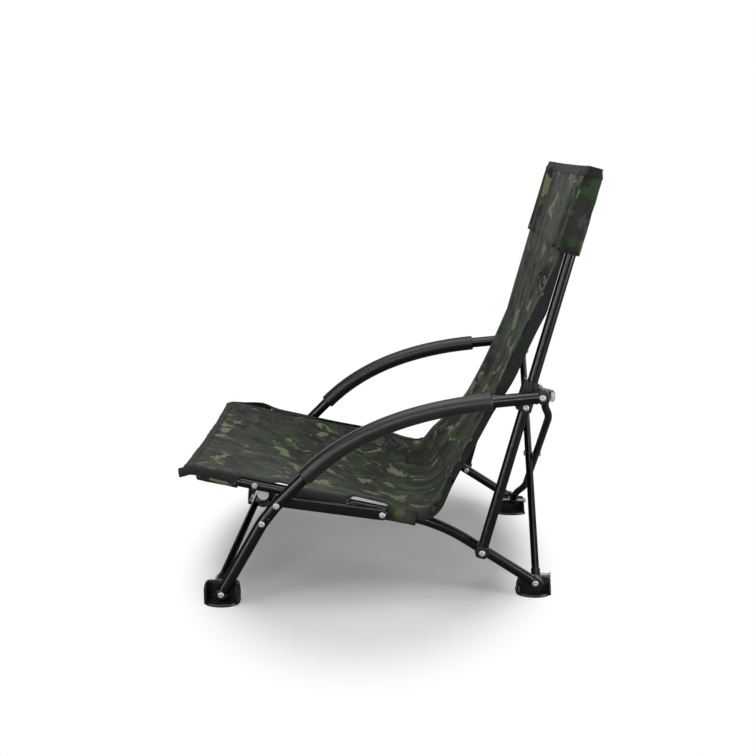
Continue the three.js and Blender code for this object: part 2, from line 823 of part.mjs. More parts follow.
function makeSling() {
  const edge = slingEdge();
  const rows = clothLengthSteps + 1;
  const columns = clothWidthSteps + 1;
  const positions = [];
  for (const face of [-0.5, 0.5]) {
    for (let row = 0; row < rows; row += 1) {
      for (let column = 0; column < columns; column += 1) {
        const side = columnSide(column);
        const { point, outward } = slingPoint(edge, row / clothLengthSteps, side);
        point.addScaledVector(outward, face * clothThickness);
        positions.push(point.x, point.y, point.z);
      }
    }
  }
  const layer = rows * columns;
  const index = (face, row, column) => face * layer + row * columns + column;
  const faces = [];
  const quad = (a, b, c, d) => faces.push(a, b, c, a, c, d);
  for (let row = 0; row < clothLengthSteps; row += 1) {
    for (let column = 0; column < clothWidthSteps; column += 1) {
      const corners = [[row, column], [row, column + 1], [row + 1, column + 1], [row + 1, column]];
      quad(...corners.map(([r, c]) => index(0, r, c)));
      quad(...corners.map(([r, c]) => index(1, r, c)).reverse());
    }
    quad(index(0, row, 0), index(0, row + 1, 0), index(1, row + 1, 0), index(1, row, 0));
    const end = clothWidthSteps;
    quad(index(0, row, end), index(1, row, end), index(1, row + 1, end), index(0, row + 1, end));
  }
  for (let column = 0; column < clothWidthSteps; column += 1) {
    quad(index(0, 0, column), index(1, 0, column), index(1, 0, column + 1), index(0, 0, column + 1));
    const last = clothLengthSteps;
    const next = column + 1;
    quad(index(0, last, column), index(0, last, next), index(1, last, next), index(1, last, column));
  }
  const geometry = new THREE.BufferGeometry();
  geometry.setAttribute('position', new THREE.Float32BufferAttribute(positions, 3));
  geometry.setIndex(faces);
  return geometry;
}

// Head pocket: a flat cloth sleeve, closed at its top, pulled down over both uprights
const pocketFront = 17;
const pocketRear = 14;
const frontWaist = 10;
const rearWaist = 5;
const pocketSteps = 16;

// The pocket's section, or with an inset the hollow inside it
function pocketSection(inset) {
  const outerHalf = uprightX + uprightDiameter / 2 + seatGap + clothThickness;
  const half = outerHalf - inset;
  const bow = (x) => 1 - (x / outerHalf) ** 2;
  const shape = new THREE.Shape();
  shape.moveTo(-half, inset + frontWaist * bow(half) - pocketFront);
  for (let step = 1; step <= pocketSteps; step += 1) {
    const x = half * ((2 * step) / pocketSteps - 1);
    shape.lineTo(x, inset + frontWaist * bow(x) - pocketFront);
  }
  for (let step = 0; step <= pocketSteps; step += 1) {
    const x = half * (1 - (2 * step) / pocketSteps);
    shape.lineTo(x, pocketRear + rearWaist * bow(x) - inset);
  }
  return shape;
}

function pocketSolid(inset, start, end) {
  const geometry = new THREE.ExtrudeGeometry(pocketSection(inset), {
    depth: end - start,
    steps: 1,
    bevelEnabled: false,
  });
  const axes = new THREE.Matrix4().makeBasis(
    new THREE.Vector3(1, 0, 0),
    inSide(across(uprightUp), 0),
    inSide(uprightUp, 0),
  );
  geometry.applyMatrix4(axes);
  const low = along(uprightPivot, uprightUp, start);
  geometry.translate(0, low.x, low.y);
  return geometry;
}

function makePocket() {
  const start = uprightLength - pocketDrop;
  const ceiling = uprightLength + seatGap;
  const outer = pocketSolid(0, start, ceiling + clothThickness);
  return cut(outer, pocketSolid(clothThickness, start - overrun, ceiling));
}

// Cloth sleeves that hold the sling's edge to the rail
const sleeveWall = 1.8;
const sleeveSides = 12;
const sleeveBore = (railDiameter / 2 + seatGap) / Math.cos(Math.PI / sleeveSides);
const frontSleeveInset = 2;
const frontSleeveLength = 74;
const middleSleeveStart = 176;
const middleSleeveEnd = 290;
const rearSleeveStart = 52;
const rearSleeveEnd = 98;
const frontSleeveEnd = railFrontLength - frontSleeveInset;

function sleeve(start, end) {
  const points = [start, end].map((distance) => inSide(along(railBend, railFront, distance), railX));
  return tube(points, sleeveBore + sleeveWall, sleeveWall, sleeveSides, sleeveSides);
}

function makeClothSling() {
  const near = [
    sleeve(frontSleeveEnd - frontSleeveLength, frontSleeveEnd),
    sleeve(middleSleeveStart, middleSleeveEnd),
    sleeve(rearSleeveStart, rearSleeveEnd),
  ];
  return join(makeSling(), ...near, ...near.map(mirrored));
}

// Assembly
const chair = new THREE.Group();

function addPart(name, geometry, material) {
  const mesh = new THREE.Mesh(geometry, material);
  mesh.name = name;
  chair.add(mesh);
}

function addPair(name, geometry, material) {
  addPart(`${name}_left`, geometry, material());
  addPart(`${name}_right`, mirrored(geometry), material());
}

addPair('rear_foot', makeRearFoot(), blackPlastic);
addPair('front_foot', makeFrontFoot(), blackPlastic);
addPair('seat_rail', makeRail(), blackTube);
addPair('rail_end_fitting', makeRailFitting(), blackPlastic);
addPair('side_bar', makeBar(), blackTube);
addPair('front_leg', makeLeg(), blackTube);
addPair('leg_end_fitting', makeLegFitting(), blackPlastic);
addPair('arm_tube', makeArm(), blackTube);
addPair('arm_end_fitting', makeArmFitting(), blackPlastic);
addPair('arm_grip', makeGrip(), softGrip);
addPair('upright', makeUpright(), blackTube);
addPair('upright_end_fitting', makeUprightFitting(), blackPlastic);
addPair('arm_collar', makeCollar(), blackPlastic);
addPair('rear_hub', makeRearHub(), blackPlastic);
addPair('front_hub', makeFrontHub(), blackPlastic);

// Rivets and pins, each held by the part that carries it
const footInset = linkGap + wallThickness + seatGap;
const barInner = barX - barThickness / 2;
const barOuter = barX + barThickness / 2;
const armFace = armFittingThickness / 2;
const forkReach = forkGap + forkWall + seatGap;
const ribReachRear = footLength / 2 - wallMargin + seatGap;
const ribLow = -ribReachRear - rearFootPinBehind;
const ribHigh = ribReachRear - rearFootPinBehind;
const uprightOuter = uprightX + uprightDiameter / 2;
const wallInner = armInner - linkGap - wallThickness;
const armFaceOuter = armX + armFace + seatGap;

const rivets = {
  rear_foot_rivet: sideRivet(rearPivot, railInner - footInset, railOuter + seatGap),
  rear_foot_pin: planePin(rearFootPin, rearRise, rearBracePinX, ribLow, ribHigh),
  front_foot_rivet: sideRivet(footPivot, wallInner, armFaceOuter, true, false),
  upright_rivet: sideRivet(uprightPivot, railInner - seatGap, uprightOuter),
  bar_rear_rivet: sideRivet(barPivot, railInner - seatGap, barOuter + seatGap),
  front_hub_rivet: sideRivet(hubPivot, forkInner - seatGap, railOuter + seatGap),
  leg_rivet: sideRivet(legRivet, armInner - seatGap, armOuter + seatGap),
  bar_front_rivet: sideRivet(armPivot, barInner - seatGap, armOuter + seatGap, true, false),
  arm_rear_rivet: sideRivet(collarPivot, armX - armFace, armFaceOuter, true, false),
  collar_rivet: sideRivet(collarPivot, rearHubInner - seatGap, wingOuter, false, true),
  front_hub_pin: planePin(frontHubPin, frontRise, bracePinX, -forkReach, forkReach),
};
for (const [name, geometry] of Object.entries(rivets)) addPair(name, geometry, zincRivet);

// Braces and the rivet through the middle of the rear pair
const centreReach = braceDiameter / 2 + seatGap;
const braces = {
  front_brace_straight: frontStraight,
  front_brace_bowed: frontBowed,
  rear_brace_straight: rearStraight,
  rear_brace_bowed: rearBowed,
};
for (const [name, line] of Object.entries(braces)) addPart(name, makeBrace(line), blackTube());

const middle = rearStraight.length / 2;
const crossEnds = [-centreReach, braceOffset + centreReach].map((offset) => rearStraight.at(middle, offset));
const crossRivet = rivet(...crossEnds);
addPart('rear_cross_rivet', crossRivet, zincRivet());

addPart('sling_cloth', makeClothSling(), camoCloth());
addPart('head_pocket', makePocket(), camoCloth());

export default chair;
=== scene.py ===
# Low folding fishing chair: steel tube frame, moulded fittings and a camouflage cloth sling.
# Metres. +Z up, the chair faces -Y, +X is the sitter's left.
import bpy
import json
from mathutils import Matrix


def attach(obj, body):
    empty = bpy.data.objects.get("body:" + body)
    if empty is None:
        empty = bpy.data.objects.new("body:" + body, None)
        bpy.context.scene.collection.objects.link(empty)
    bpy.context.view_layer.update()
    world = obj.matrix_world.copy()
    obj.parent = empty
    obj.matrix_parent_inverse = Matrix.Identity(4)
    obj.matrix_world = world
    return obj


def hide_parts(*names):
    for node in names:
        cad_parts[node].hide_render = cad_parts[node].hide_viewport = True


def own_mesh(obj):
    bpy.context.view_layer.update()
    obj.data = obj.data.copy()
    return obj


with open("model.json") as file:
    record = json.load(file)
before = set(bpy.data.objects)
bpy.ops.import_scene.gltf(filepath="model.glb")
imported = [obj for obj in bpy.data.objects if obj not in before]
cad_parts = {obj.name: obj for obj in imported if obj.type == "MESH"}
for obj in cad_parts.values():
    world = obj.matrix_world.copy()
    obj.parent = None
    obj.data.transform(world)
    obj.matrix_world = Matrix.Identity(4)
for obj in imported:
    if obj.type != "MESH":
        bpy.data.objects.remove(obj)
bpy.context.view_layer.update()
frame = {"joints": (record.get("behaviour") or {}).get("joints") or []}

import bisect
import functools
import json
import math

import bmesh
import bpy
from mathutils import Matrix, Vector, noise
from mathutils.geometry import interpolate_bezier


# Studio
# A grey paper floor that fades to white round the chair, a large soft box overhead, and strip
# lights and fills on all sides. The camera stands beside the chair, about level with its top.
def in_scene(name, data):
    made = bpy.data.objects.new(name, data)
    bpy.context.scene.collection.objects.link(made)
    return made


def aimed(name, data, place, direction):
    """A camera or a light at a place, looking along a direction."""
    made = in_scene(name, data)
    made.location = place
    made.rotation_euler = direction.to_track_quat("-Z", "Y").to_euler()
    return made


turn, tilt = math.radians(1.34913), math.radians(11.5045)
towards_camera = Vector((math.cos(turn) * math.cos(tilt), math.sin(turn) * math.cos(tilt), math.sin(tilt)))
camera = aimed("camera", bpy.data.cameras.new("camera"), (2.25301, 0.0292, 0.81345), -towards_camera)
camera.data.sensor_width = 36
camera.data.lens = 54.76
bpy.context.scene.camera = camera
bpy.context.scene.view_settings.view_transform = "Standard"


def as_data(name, mesh):
    data = bpy.data.meshes.new(name)
    mesh.to_mesh(data)
    mesh.free()
    return data


floor_mesh = bmesh.new()
bmesh.ops.create_grid(floor_mesh, x_segments=1, y_segments=1, size=9.0)
bmesh.ops.translate(floor_mesh, verts=floor_mesh.verts, vec=(0, 0, -0.0005))
floor = in_scene("floor", as_data("floor", floor_mesh))


def feed(tree, node, inputs):
    """Set a node's inputs: each to a value, to a socket, or to the first output of another node."""
    for name, value in inputs.items():
        if isinstance(value, bpy.types.Node):
            value = value.outputs[0]
        if isinstance(value, bpy.types.NodeSocket):
            tree.links.new(value, node.inputs[name])
        else:
            node.inputs[name].default_value = value


def add_node(tree, kind, inputs=None, **settings):
    """Add a shader node with its own settings first, and then its inputs."""
    node = tree.nodes.new("ShaderNode" + kind)
    for name, value in settings.items():
        setattr(node, name, value)
    feed(tree, node, inputs or {})
    return node


def plain_finish(name, inputs):
    """A new material whose own shader has these inputs."""
    finish = bpy.data.materials.new(name)
    finish.use_nodes = True
    feed(finish.node_tree, finish.node_tree.nodes["Principled BSDF"], inputs)
    return finish


# The camera sees lit paper inside an oval round the chair, and pure white outside it. All other
# rays meet a dark floor, so that the black tubes don't mirror a white one.
floor_paper = plain_finish("floor_paper", {
    "Base Color": (0.56, 0.56, 0.56, 1), "Roughness": 1.0, "Specular IOR Level": 0.0,
})
floor_tree = floor_paper.node_tree
paper_glow = add_node(floor_tree, "Emission", {"Strength": 0.07})
lit_paper = add_node(floor_tree, "AddShader", {0: floor_tree.nodes["Principled BSDF"], 1: paper_glow})
floor_oval = add_node(floor_tree, "Mapping", {
    "Vector": add_node(floor_tree, "TexCoord").outputs["Object"],
    "Location": (0, 0.12, 0), "Scale": (1 / 0.60, 1 / 0.345, 1),
})
floor_reach = add_node(floor_tree, "VectorMath", {0: floor_oval}, operation="LENGTH")
floor_fade = add_node(floor_tree, "MapRange", {
    "Value": floor_reach.outputs["Value"], "From Min": 0.72, "From Max": 1.12,
}, interpolation_type="SMOOTHSTEP")
white_paper = add_node(floor_tree, "Emission")
seen_paper = add_node(floor_tree, "MixShader", {"Fac": floor_fade, 1: lit_paper, 2: white_paper})
dark_paper = add_node(floor_tree, "BsdfDiffuse", {"Color": (0.13, 0.13, 0.13, 1)})
floor_rays = add_node(floor_tree, "LightPath").outputs["Is Camera Ray"]
floor_shown = add_node(floor_tree, "MixShader", {"Fac": floor_rays, 1: dark_paper, 2: seen_paper})
feed(floor_tree, floor_tree.nodes["Material Output"], {"Surface": floor_shown})
floor.data.materials.append(floor_paper)

world = bpy.data.worlds.new("studio")
bpy.context.scene.world = world
world.use_nodes = True
world_tree = world.node_tree
sky_strength = add_node(world_tree, "MapRange", {
    "Value": add_node(world_tree, "LightPath").outputs["Is Camera Ray"], "To Min": 0.06, "To Max": 1.0,
})
feed(world_tree, world_tree.nodes["Background"], {"Color": (1, 1, 1, 1), "Strength": sky_strength})

soft_boxes = (
    ("overhead", (0.3, -0.2, 2.6), (0, 0, 0.2), 2.4, 2.4, 54),
    ("front_strip", (1.9, -2.2, 0.95), (0, 0, 0.75), 0.8, 1.8, 28),
    ("back_fill", (-1.6, 2.0, 1.8), (0, 0, 0.4), 1.5, 1.5, 14),
    ("side_strip", (3.2, 0.0, 1.20), (0, 0, 0.4), 1.9, 0.34, 24),
    ("upright_strip", (2.7, -1.1, 0.62), (0, 0, 0.35), 0.20, 1.3, 9),
    ("background", (-3.6, 0.0, 0.9), (0, 0, 0.4), 5.0, 3.0, 52),
    ("rear_strip", (1.5, 2.4, 0.7), (0.1, 0.3, 0.4), 1.0, 1.4, 66),
)
for name, place, aim, width, height, power in soft_boxes:
    light = bpy.data.lights.new(name, "AREA")
    light.shape = "RECTANGLE"
    light.size, light.size_y = width, height
    light.energy = power
    aimed(name, light, place, Vector(aim) - Vector(place))


# Rear feet
# Black nylon mouldings, one under each rail end: a rounded sole, an upright wall that the
# rail is riveted to, and an end rib on each side that the crossed braces pin through.
both_sides = (("left", 1), ("right", -1))


def in_side(point, x):
    """The same point of the side view, at a distance x from the chair's middle."""
    return Vector((x, point.y, point.z))


def node_group(name, inputs, outputs):
    """An empty node group with its sockets, and the nodes inside it that stand for them."""
    group = bpy.data.node_groups.new(name, "ShaderNodeTree")
    for way, sockets in (("INPUT", inputs), ("OUTPUT", outputs)):
        for socket, kind in sockets.items():
            group.interface.new_socket(socket, in_out=way, socket_type="NodeSocket" + kind)
    return group, group.nodes.new("NodeGroupInput"), group.nodes.new("NodeGroupOutput")


# Grain gives the fine height of a moulded or sprayed surface, and soft patches
grain, grain_in, grain_out = node_group("grain", {"Size": "Float"}, {"Height": "Float", "Patch": "Float"})
grain_place = add_node(grain, "TexCoord").outputs["Object"]
feed(grain, grain_out, {
    "Height": add_node(grain, "TexNoise", {"Vector": grain_place, "Scale": grain_in, "Detail": 3}),
    "Patch": add_node(grain, "TexNoise", {"Vector": grain_place, "Scale": 14, "Detail": 4}),
})


def grained(name, slot, dark, light, smooth, rough, size, depth, metallic=0.0, sheen=0.0):
    """A finish whose colour and gloss drift in soft patches over a fine grain, with its pieces' slot."""
    finish = plain_finish(name, {"Metallic": metallic, "Sheen Weight": sheen})
    tree = finish.node_tree
    skin = add_node(tree, "Group", {"Size": size}, node_tree=grain)
    patch = skin.outputs["Patch"]
    colour = add_node(tree, "Mix", {"Factor": patch, "A": (*dark, 1), "B": (*light, 1)}, data_type="RGBA")
    gloss = add_node(tree, "MapRange", {
        "Value": patch, "From Min": 0.3, "From Max": 0.7, "To Min": smooth, "To Max": rough,
    })
    bump = add_node(tree, "Bump", {"Height": skin.outputs["Height"], "Strength": depth, "Distance": 0.0004})
    feed(tree, tree.nodes["Principled BSDF"], {
        "Base Color": colour.outputs["Result"], "Roughness": gloss, "Normal": bump,
    })
    return finish, slot


def pin_place(joint):
    """Where the pin of a joint stands in the side view."""
    place = next(Vector(known["pos_m"]) for known in frame["joints"] if known["name"] == joint)
    return in_side(place, 0)


nylon_shades = (0.0028, 0.0028, 0.0031), (0.0055, 0.0055, 0.0060)
nylon = grained("moulded_nylon", "black_plastic", *nylon_shades, 0.34, 0.46, 900, 0.07)


def piece(name, mesh, body, look, nodes=(), side=1, crease=32):
    """Make an object of a finished mesh, mirror it for the right side and let it ride on its body."""
    finish, slot = look
    if side < 0:
        bmesh.ops.scale(mesh, vec=(-1, 1, 1), verts=mesh.verts)
    bmesh.ops.recalc_face_normals(mesh, faces=mesh.faces)
    data = as_data(name, mesh)
    data.materials.append(finish)
    data.shade_smooth()
    data.set_sharp_from_angle(angle=math.radians(crease))
    made = in_scene(name, data)
    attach(made, body)
    if nodes:
        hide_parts(*nodes)
    return made


def pair(name, ending, body, look, build, *sizes, listed=True):
    """A piece for each side, built from the same sizes. Listed ones stand for their side's node."""
    made = []
    for side, sign in both_sides:
        mesh = bmesh.new()
        build(mesh, *sizes)
        nodes = [f"{name}_{side}"] if listed else []
        made.append(piece(f"{name}_{side}{ending}", mesh, f"{side}_{body}", look, nodes, sign))
    return made


def edges_of(verts):
    chosen = set(verts)
    return list({edge for vert in chosen for edge in vert.link_edges if edge.other_vert(vert) in chosen})


def soften(mesh, verts, width, steps=3):
    """Round the edges of a closed body, apart from the flat joins inside it."""
    sharp = [edge for edge in edges_of(verts) if len(edge.link_faces) == 2 and edge.calc_face_angle() > 0.3]
    bmesh.ops.bevel(
        mesh, geom=sharp, offset=width, offset_type="OFFSET", segments=steps, profile=0.5,
        affect="EDGES", clamp_overlap=True, material=-1,
    )


def extruded(mesh, outline, move):
    """A flat outline made solid by moving a copy of it. Gives its first points and the moved ones."""
    base = [mesh.verts.new(point) for point in outline]
    grown = bmesh.ops.extrude_face_region(mesh, geom=[mesh.faces.new(base)], use_keep_orig=True)["geom"]
    top = [item for item in grown if isinstance(item, bmesh.types.BMVert)]
    bmesh.ops.translate(mesh, verts=top, vec=move)
    return base, top


def slab(mesh, outline, inner, outer, edge, steps=3):
    """A flat outline in the side plane, made thick along X, with rounded edges."""
    base, top = extruded(mesh, [in_side(point, inner) for point in outline], (outer - inner, 0, 0))
    soften(mesh, base + top, edge, steps)


def rounded(corners, radius):
    """An outline with each of its corners rounded by a curve that starts radius away."""
    outline = []
    for number, corner in enumerate(corners):
        before = (corners[number - 1] - corner).normalized() * radius
        after = (corners[(number + 1) % len(corners)] - corner).normalized() * radius
        outline += interpolate_bezier(
            corner + before, corner + before * 0.45, corner + after * 0.45, corner + after, 5,
        )
    return outline


def sole(mesh, inner, outer, middle):
    """The flat bottom of a foot: a rounded plan, lying on the ground."""
    length, thickness, corner, steps = 0.065, 0.005, 0.024, 18
    angles = [math.pi / 2 - math.pi * step / steps for step in range(steps + 1)]

    def half_turn(centre, reach, way):
        return [
            (centre + reach * math.cos(angle), middle + way * length / 2 * math.sin(angle), 0)
            for angle in angles
        ]

    inner_end = half_turn(inner + corner * 0.6, -corner * 0.6, -1)
    outer_end = half_turn(outer - corner, corner, 1)
    base, top = extruded(mesh, inner_end + outer_end, (0, 0, thickness))
    about_middle = Matrix.Translation((-(inner + outer) / 2, -middle, 0))
    bmesh.ops.scale(mesh, vec=(0.97, 0.97, 1), verts=top, space=about_middle)
    soften(mesh, base + top, 0.0012)


wall_foot, rib_thickness, foot_half = 0.0025, 0.004, 0.0305


def end_rib(mesh, start, inner, outer, inner_top, outer_top):
    """A rib across a foot: full height at the wall, falling away from it."""
    middle = inner * 0.45 + outer * 0.55
    middle_top = inner_top * 0.55 + outer_top * 0.45 + 0.002
    outline = [
        (inner, start, wall_foot), (inner, start, inner_top), (middle, start, middle_top),
        (outer, start, outer_top), (outer, start, wall_foot),
    ]
    base, top = extruded(mesh, outline, (0, rib_thickness, 0))
    soften(mesh, base + top, 0.0012)


def foot(mesh, middle, sole_x, wall_x, top, ribs):
    """A foot moulding: a sole, a wall along it, and ribs across both ends of the wall."""
    sole(mesh, *sole_x, middle)
    low, high = middle - foot_half, middle + foot_half
    wall = [Vector((0, y, z)) for y, z in ((low, wall_foot), (low, top), (high, top), (high, wall_foot))]
    slab(mesh, rounded(wall, 0.006), *wall_x, edge=0.0008)
    for start in (low, high - rib_thickness):
        for rib in ribs:
            end_rib(mesh, start, *rib)


def turned(mesh, profile, place, axis=(1, 0, 0), steps=28):
    """Spin a profile of (radius, distance) pairs about an axis that starts at a place."""
    known = set(mesh.verts)
    corners = [mesh.verts.new((radius, 0, distance)) for radius, distance in profile]
    runs = [mesh.edges.new(ends) for ends in zip(corners, corners[1:])]
    bmesh.ops.spin(
        mesh, geom=corners + runs, cent=(0, 0, 0), axis=(0, 0, 1), dvec=(0, 0, 0), angle=2 * math.pi,
        steps=steps, use_merge=True, use_duplicate=False,
    )
    made = [vert for vert in mesh.verts if vert not in known]
    bmesh.ops.remove_doubles(mesh, verts=made, dist=1e-6)
    made = [vert for vert in mesh.verts if vert not in known]
    place_matrix = Matrix.Translation(place) @ Vector(axis).to_track_quat("Z", "Y").to_matrix().to_4x4()
    bmesh.ops.transform(mesh, matrix=place_matrix, verts=made)


rear_pivot = pin_place("left_rail_hinge")
rear_foot_top = 0.0343
rear_ribs = ((0.2498, 0.222, rear_foot_top - 0.0065, 0.012), (0.2490, 0.2610, 0.0235, 0.011))


def rear_foot(mesh):
    foot(mesh, rear_pivot.y, (0.2095, 0.2675), (0.2435, 0.2495), rear_foot_top, rear_ribs)
    rivet_seat = [(0.0088, 0), (0.0088, 0.0005), (0.0084, 0.0008), (0, 0.0008)]
    turned(mesh, rivet_seat, in_side(rear_pivot, 0.2492))


pair("rear_foot", "_moulding", "rear_foot", nylon, rear_foot)


# Seat rails
# 19 mm steel tube, sprayed black and baked: straight up from the rear foot, one wide bend,
# then straight to the front of the seat, where the cloth covers its end.
coat_shades = (0.0012, 0.0012, 0.0014), (0.0026, 0.0026, 0.0028)
sprayed = grained("black_powder_coat", "black_tube", *coat_shades, 0.24, 0.30, 150, 0.004)


def sweep(mesh, points, normal, radii, sides=32):
    """A round tube along points that lie in one plane. Each point can have its own radius."""
    normal = Vector(normal).normalized()
    ring = bmesh.ops.create_circle(mesh, cap_ends=True, cap_tris=False, radius=1, segments=sides)["verts"]
    before = Matrix.Identity(4)
    for number, point in enumerate(points):
        start, end = max(number - 1, 0), min(number + 1, len(points) - 1)
        arriving = (points[start + 1] - points[start]).normalized()
        leaving = (points[end] - points[end - 1]).normalized()
        run = (arriving + leaving).normalized()
        radius = radii[number] if isinstance(radii, (list, tuple)) else radii
        across = run.cross(normal) * radius / max(run.dot(leaving), 0.6)
        frame_now = Matrix.Translation(point) @ Matrix((normal * radius, across, run)).transposed().to_4x4()
        if number:
            grown = bmesh.ops.extrude_edge_only(mesh, edges=edges_of(ring))["geom"]
            ring = [item for item in grown if isinstance(item, bmesh.types.BMVert)]
        bmesh.ops.transform(mesh, matrix=frame_now @ before.inverted(), verts=ring)
        before = frame_now
    bmesh.ops.contextual_create(mesh, geom=edges_of(ring))


def rounded_ends(points, radius, edge):
    """Points and radii for a straight or bent run whose two rims are rounded."""
    first = (points[1] - points[0]).normalized()
    last = (points[-2] - points[-1]).normalized()
    rim = [(0.0, 1.0), (0.3, 0.45), (1.0, 0.0)]
    start = [(points[0] + first * edge * run, radius - edge * cut) for run, cut in rim]
    middle = [(point, radius) for point in points[1:-1]]
    end = [(points[-1] + last * edge * run, radius - edge * cut) for run, cut in reversed(rim)]
    joined = start + middle + end
    return [point for point, _ in joined], [size for _, size in joined]


side_normal = (1, 0, 0)


def tube(mesh, line, x, radius, edge, sides=32):
    """A tube with rounded rims along a line of the side view, at a distance x from the middle."""
    points, radii = rounded_ends([in_side(point, x) for point in line], radius, edge)
    sweep(mesh, points, side_normal, radii, sides)


def slope(degrees):
    """A direction of the side view, in degrees up from rearward."""
    return Vector((0, math.cos(math.radians(degrees)), math.sin(math.radians(degrees))))


rail_x, thin_tube, thin_edge = 0.2595, 0.0095, 0.0006
rail_rear = slope(180 - 32.64)
rail_front = slope(180 - 11.72)
rail_bend = rear_pivot + rail_rear * 0.2076
rail_front_length, bend_reach = 0.448, 0.058
bend_start, bend_end = rail_bend - rail_rear * bend_reach, rail_bend + rail_front * bend_reach
bend_guides = (bend_start.lerp(rail_bend, 2 / 3), bend_end.lerp(rail_bend, 2 / 3))
bend = interpolate_bezier(bend_start, *bend_guides, bend_end, 14)
rail_line = [rear_pivot + rail_rear * 0.006, *bend, rail_bend + rail_front * rail_front_length]
pair("seat_rail", "_tube", "rail", sprayed, tube, rail_line, rail_x, thin_tube, thin_edge)


# Rail, upright, leg and arm end fittings
# Square black nylon plugs, hammered into the tube ends. Each has a chamfered outer end, a
# shallow round seat under its rivet and a round shank inside the tube.
def behind(direction):
    """A direction turned by a quarter, so that up becomes rearward and forward becomes up."""
    return Vector((0, direction.z, -direction.y))


def end_fitting(mesh, pivot, outward, x, width, thickness, tube_end, block_end):
    across, half, corner = behind(outward), width / 2, width * 0.2
    start = tube_end + 0.0003
    outline = [
        (start, -half), (start, half), (block_end - corner, half), (block_end, half - corner),
        (block_end, corner - half), (block_end - corner, -half),
    ]
    places = [pivot + outward * run + across * offset for run, offset in outline]
    slab(mesh, places, x - thickness / 2, x + thickness / 2, 0.0016, 4)
    shank_ends = (start + 0.0004, tube_end - 0.012)
    shank = [in_side(pivot + outward * run, x) for run in shank_ends]
    sweep(mesh, shank, side_normal, min(width, thickness) / 2 - 0.0018, 24)
    rivet_seat = [(0.0078, -0.0006), (0.0078, 0.0002), (0.0072, 0.00045), (0, 0.00045)]
    turned(mesh, rivet_seat, in_side(pivot, x + thickness / 2 - 0.0003))


upright_place = pin_place("left_upright_hinge")
arm_rear_place = pin_place("left_rear_hub_hinge")
foot_place = pin_place("left_front_foot_hinge")
upright_x, arm_x = 0.279, 0.3035
upright_up = slope(75.15)
leg_down = slope(60.4 + 180)
arm_rearward = slope(6)

fittings = (
    ("rail_end_fitting", "rail", rear_pivot, -rail_rear, rail_x, 0.021, 0.019, -0.006, 0.015),
    ("upright_end_fitting", "upright", upright_place, -upright_up, upright_x, 0.023, 0.0185, -0.012, 0.010),
    ("leg_end_fitting", "arm", foot_place, leg_down, arm_x, 0.022, 0.021, -0.006, 0.008),
    ("arm_end_fitting", "arm", arm_rear_place, arm_rearward, arm_x, 0.022, 0.021, -0.006, 0.0126),
)
for name, body, *sizes in fittings:
    pair(name, "_plug", body, nylon, end_fitting, *sizes)


# Uprights
# Straight 19 mm tubes from the rail fittings to the top of the back, where the cloth's
# pocket hangs over their ends.
def on_upright(height, depth=0.0):
    """A point of the side view, from its height up the upright and its depth behind the axis."""
    return upright_place + upright_up * height + behind(upright_up) * depth


upright_line = [on_upright(0.012), on_upright(0.704)]
pair("upright", "_tube", "upright", sprayed, tube, upright_line, upright_x, thin_tube, thin_edge)


# Side bars
# Pressed steel channels with round ends, sprayed like the tubes. They join each rail to
# the bent arm and fold in beside the rail.
bar_place, arm_place = pin_place("left_bar_hinge"), pin_place("left_arm_hinge")
bar_x, bar_half, bar_depth = 0.28075, 0.010, 0.013
along_bar = (arm_place - bar_place).normalized()
bar_outline, bar_steps = [], 12
for centre, facing in ((arm_place, along_bar), (bar_place, -along_bar)):
    for step in range(bar_steps + 1):
        angle = math.pi * (0.5 - step / bar_steps)
        sideward, onward = behind(facing) * bar_half * math.sin(angle), facing * bar_half * math.cos(angle)
        bar_outline.append(centre + sideward + onward)
bar_sizes = (bar_outline, bar_x - bar_depth / 2, bar_x + bar_depth / 2, 0.0022, 5)
pair("side_bar", "_channel", "bar", sprayed, slab, *bar_sizes)


# Front legs and arms
# The leg is a 22 mm tube, kinked at its rivet. The arm's narrowed end goes inside it, so a
# step shows above the rivet. The arm sweeps up over the seat and back to its fitting.
leg_top_up, arm_up = slope(51.8), slope(45.3)
leg_rivet_place = arm_place + slope(51.8 + 180) * 0.0425
leg_seam = leg_rivet_place + leg_top_up * 0.016
thick_tube, thick_edge = 0.011, 0.0007
grip_start = arm_place + arm_up * 0.0745
grip_end = arm_rear_place - arm_rearward * 0.0901
handle = 0.344 * (grip_end - grip_start).length
grip_line = interpolate_bezier(
    grip_start, grip_start + arm_up * handle, grip_end - arm_rearward * handle, grip_end, 33,
)


def eased(points, reach, steps=5):
    """Points whose inner corners are bent on a short curve, as a tube is."""
    line = [points[0]]
    for before, corner, after in zip(points, points[1:], points[2:]):
        start = corner + (before - corner).normalized() * min(reach, (before - corner).length * 0.45)
        end = corner + (after - corner).normalized() * min(reach, (after - corner).length * 0.45)
        line += interpolate_bezier(start, start.lerp(corner, 2 / 3), end.lerp(corner, 2 / 3), end, steps)
    return [*line, points[-1]]


def arm_tube(mesh):
    line = [leg_seam, arm_place, *grip_line, arm_rear_place - arm_rearward * 0.006]
    tube(mesh, line, arm_x, thick_tube, thick_edge)
    neck = [in_side(leg_seam + leg_top_up * reach, arm_x) for reach in (-0.004, 0.004)]
    sweep(mesh, neck, side_normal, thick_tube - 0.0012)


leg_corners = [foot_place - leg_down * 0.006, leg_rivet_place, leg_seam - leg_top_up * 0.0003]
pair("front_leg", "_tube", "arm", sprayed, tube, eased(leg_corners, 0.012), arm_x, thick_tube, thick_edge)
pair("arm_tube", "_tube", "arm", sprayed, arm_tube)


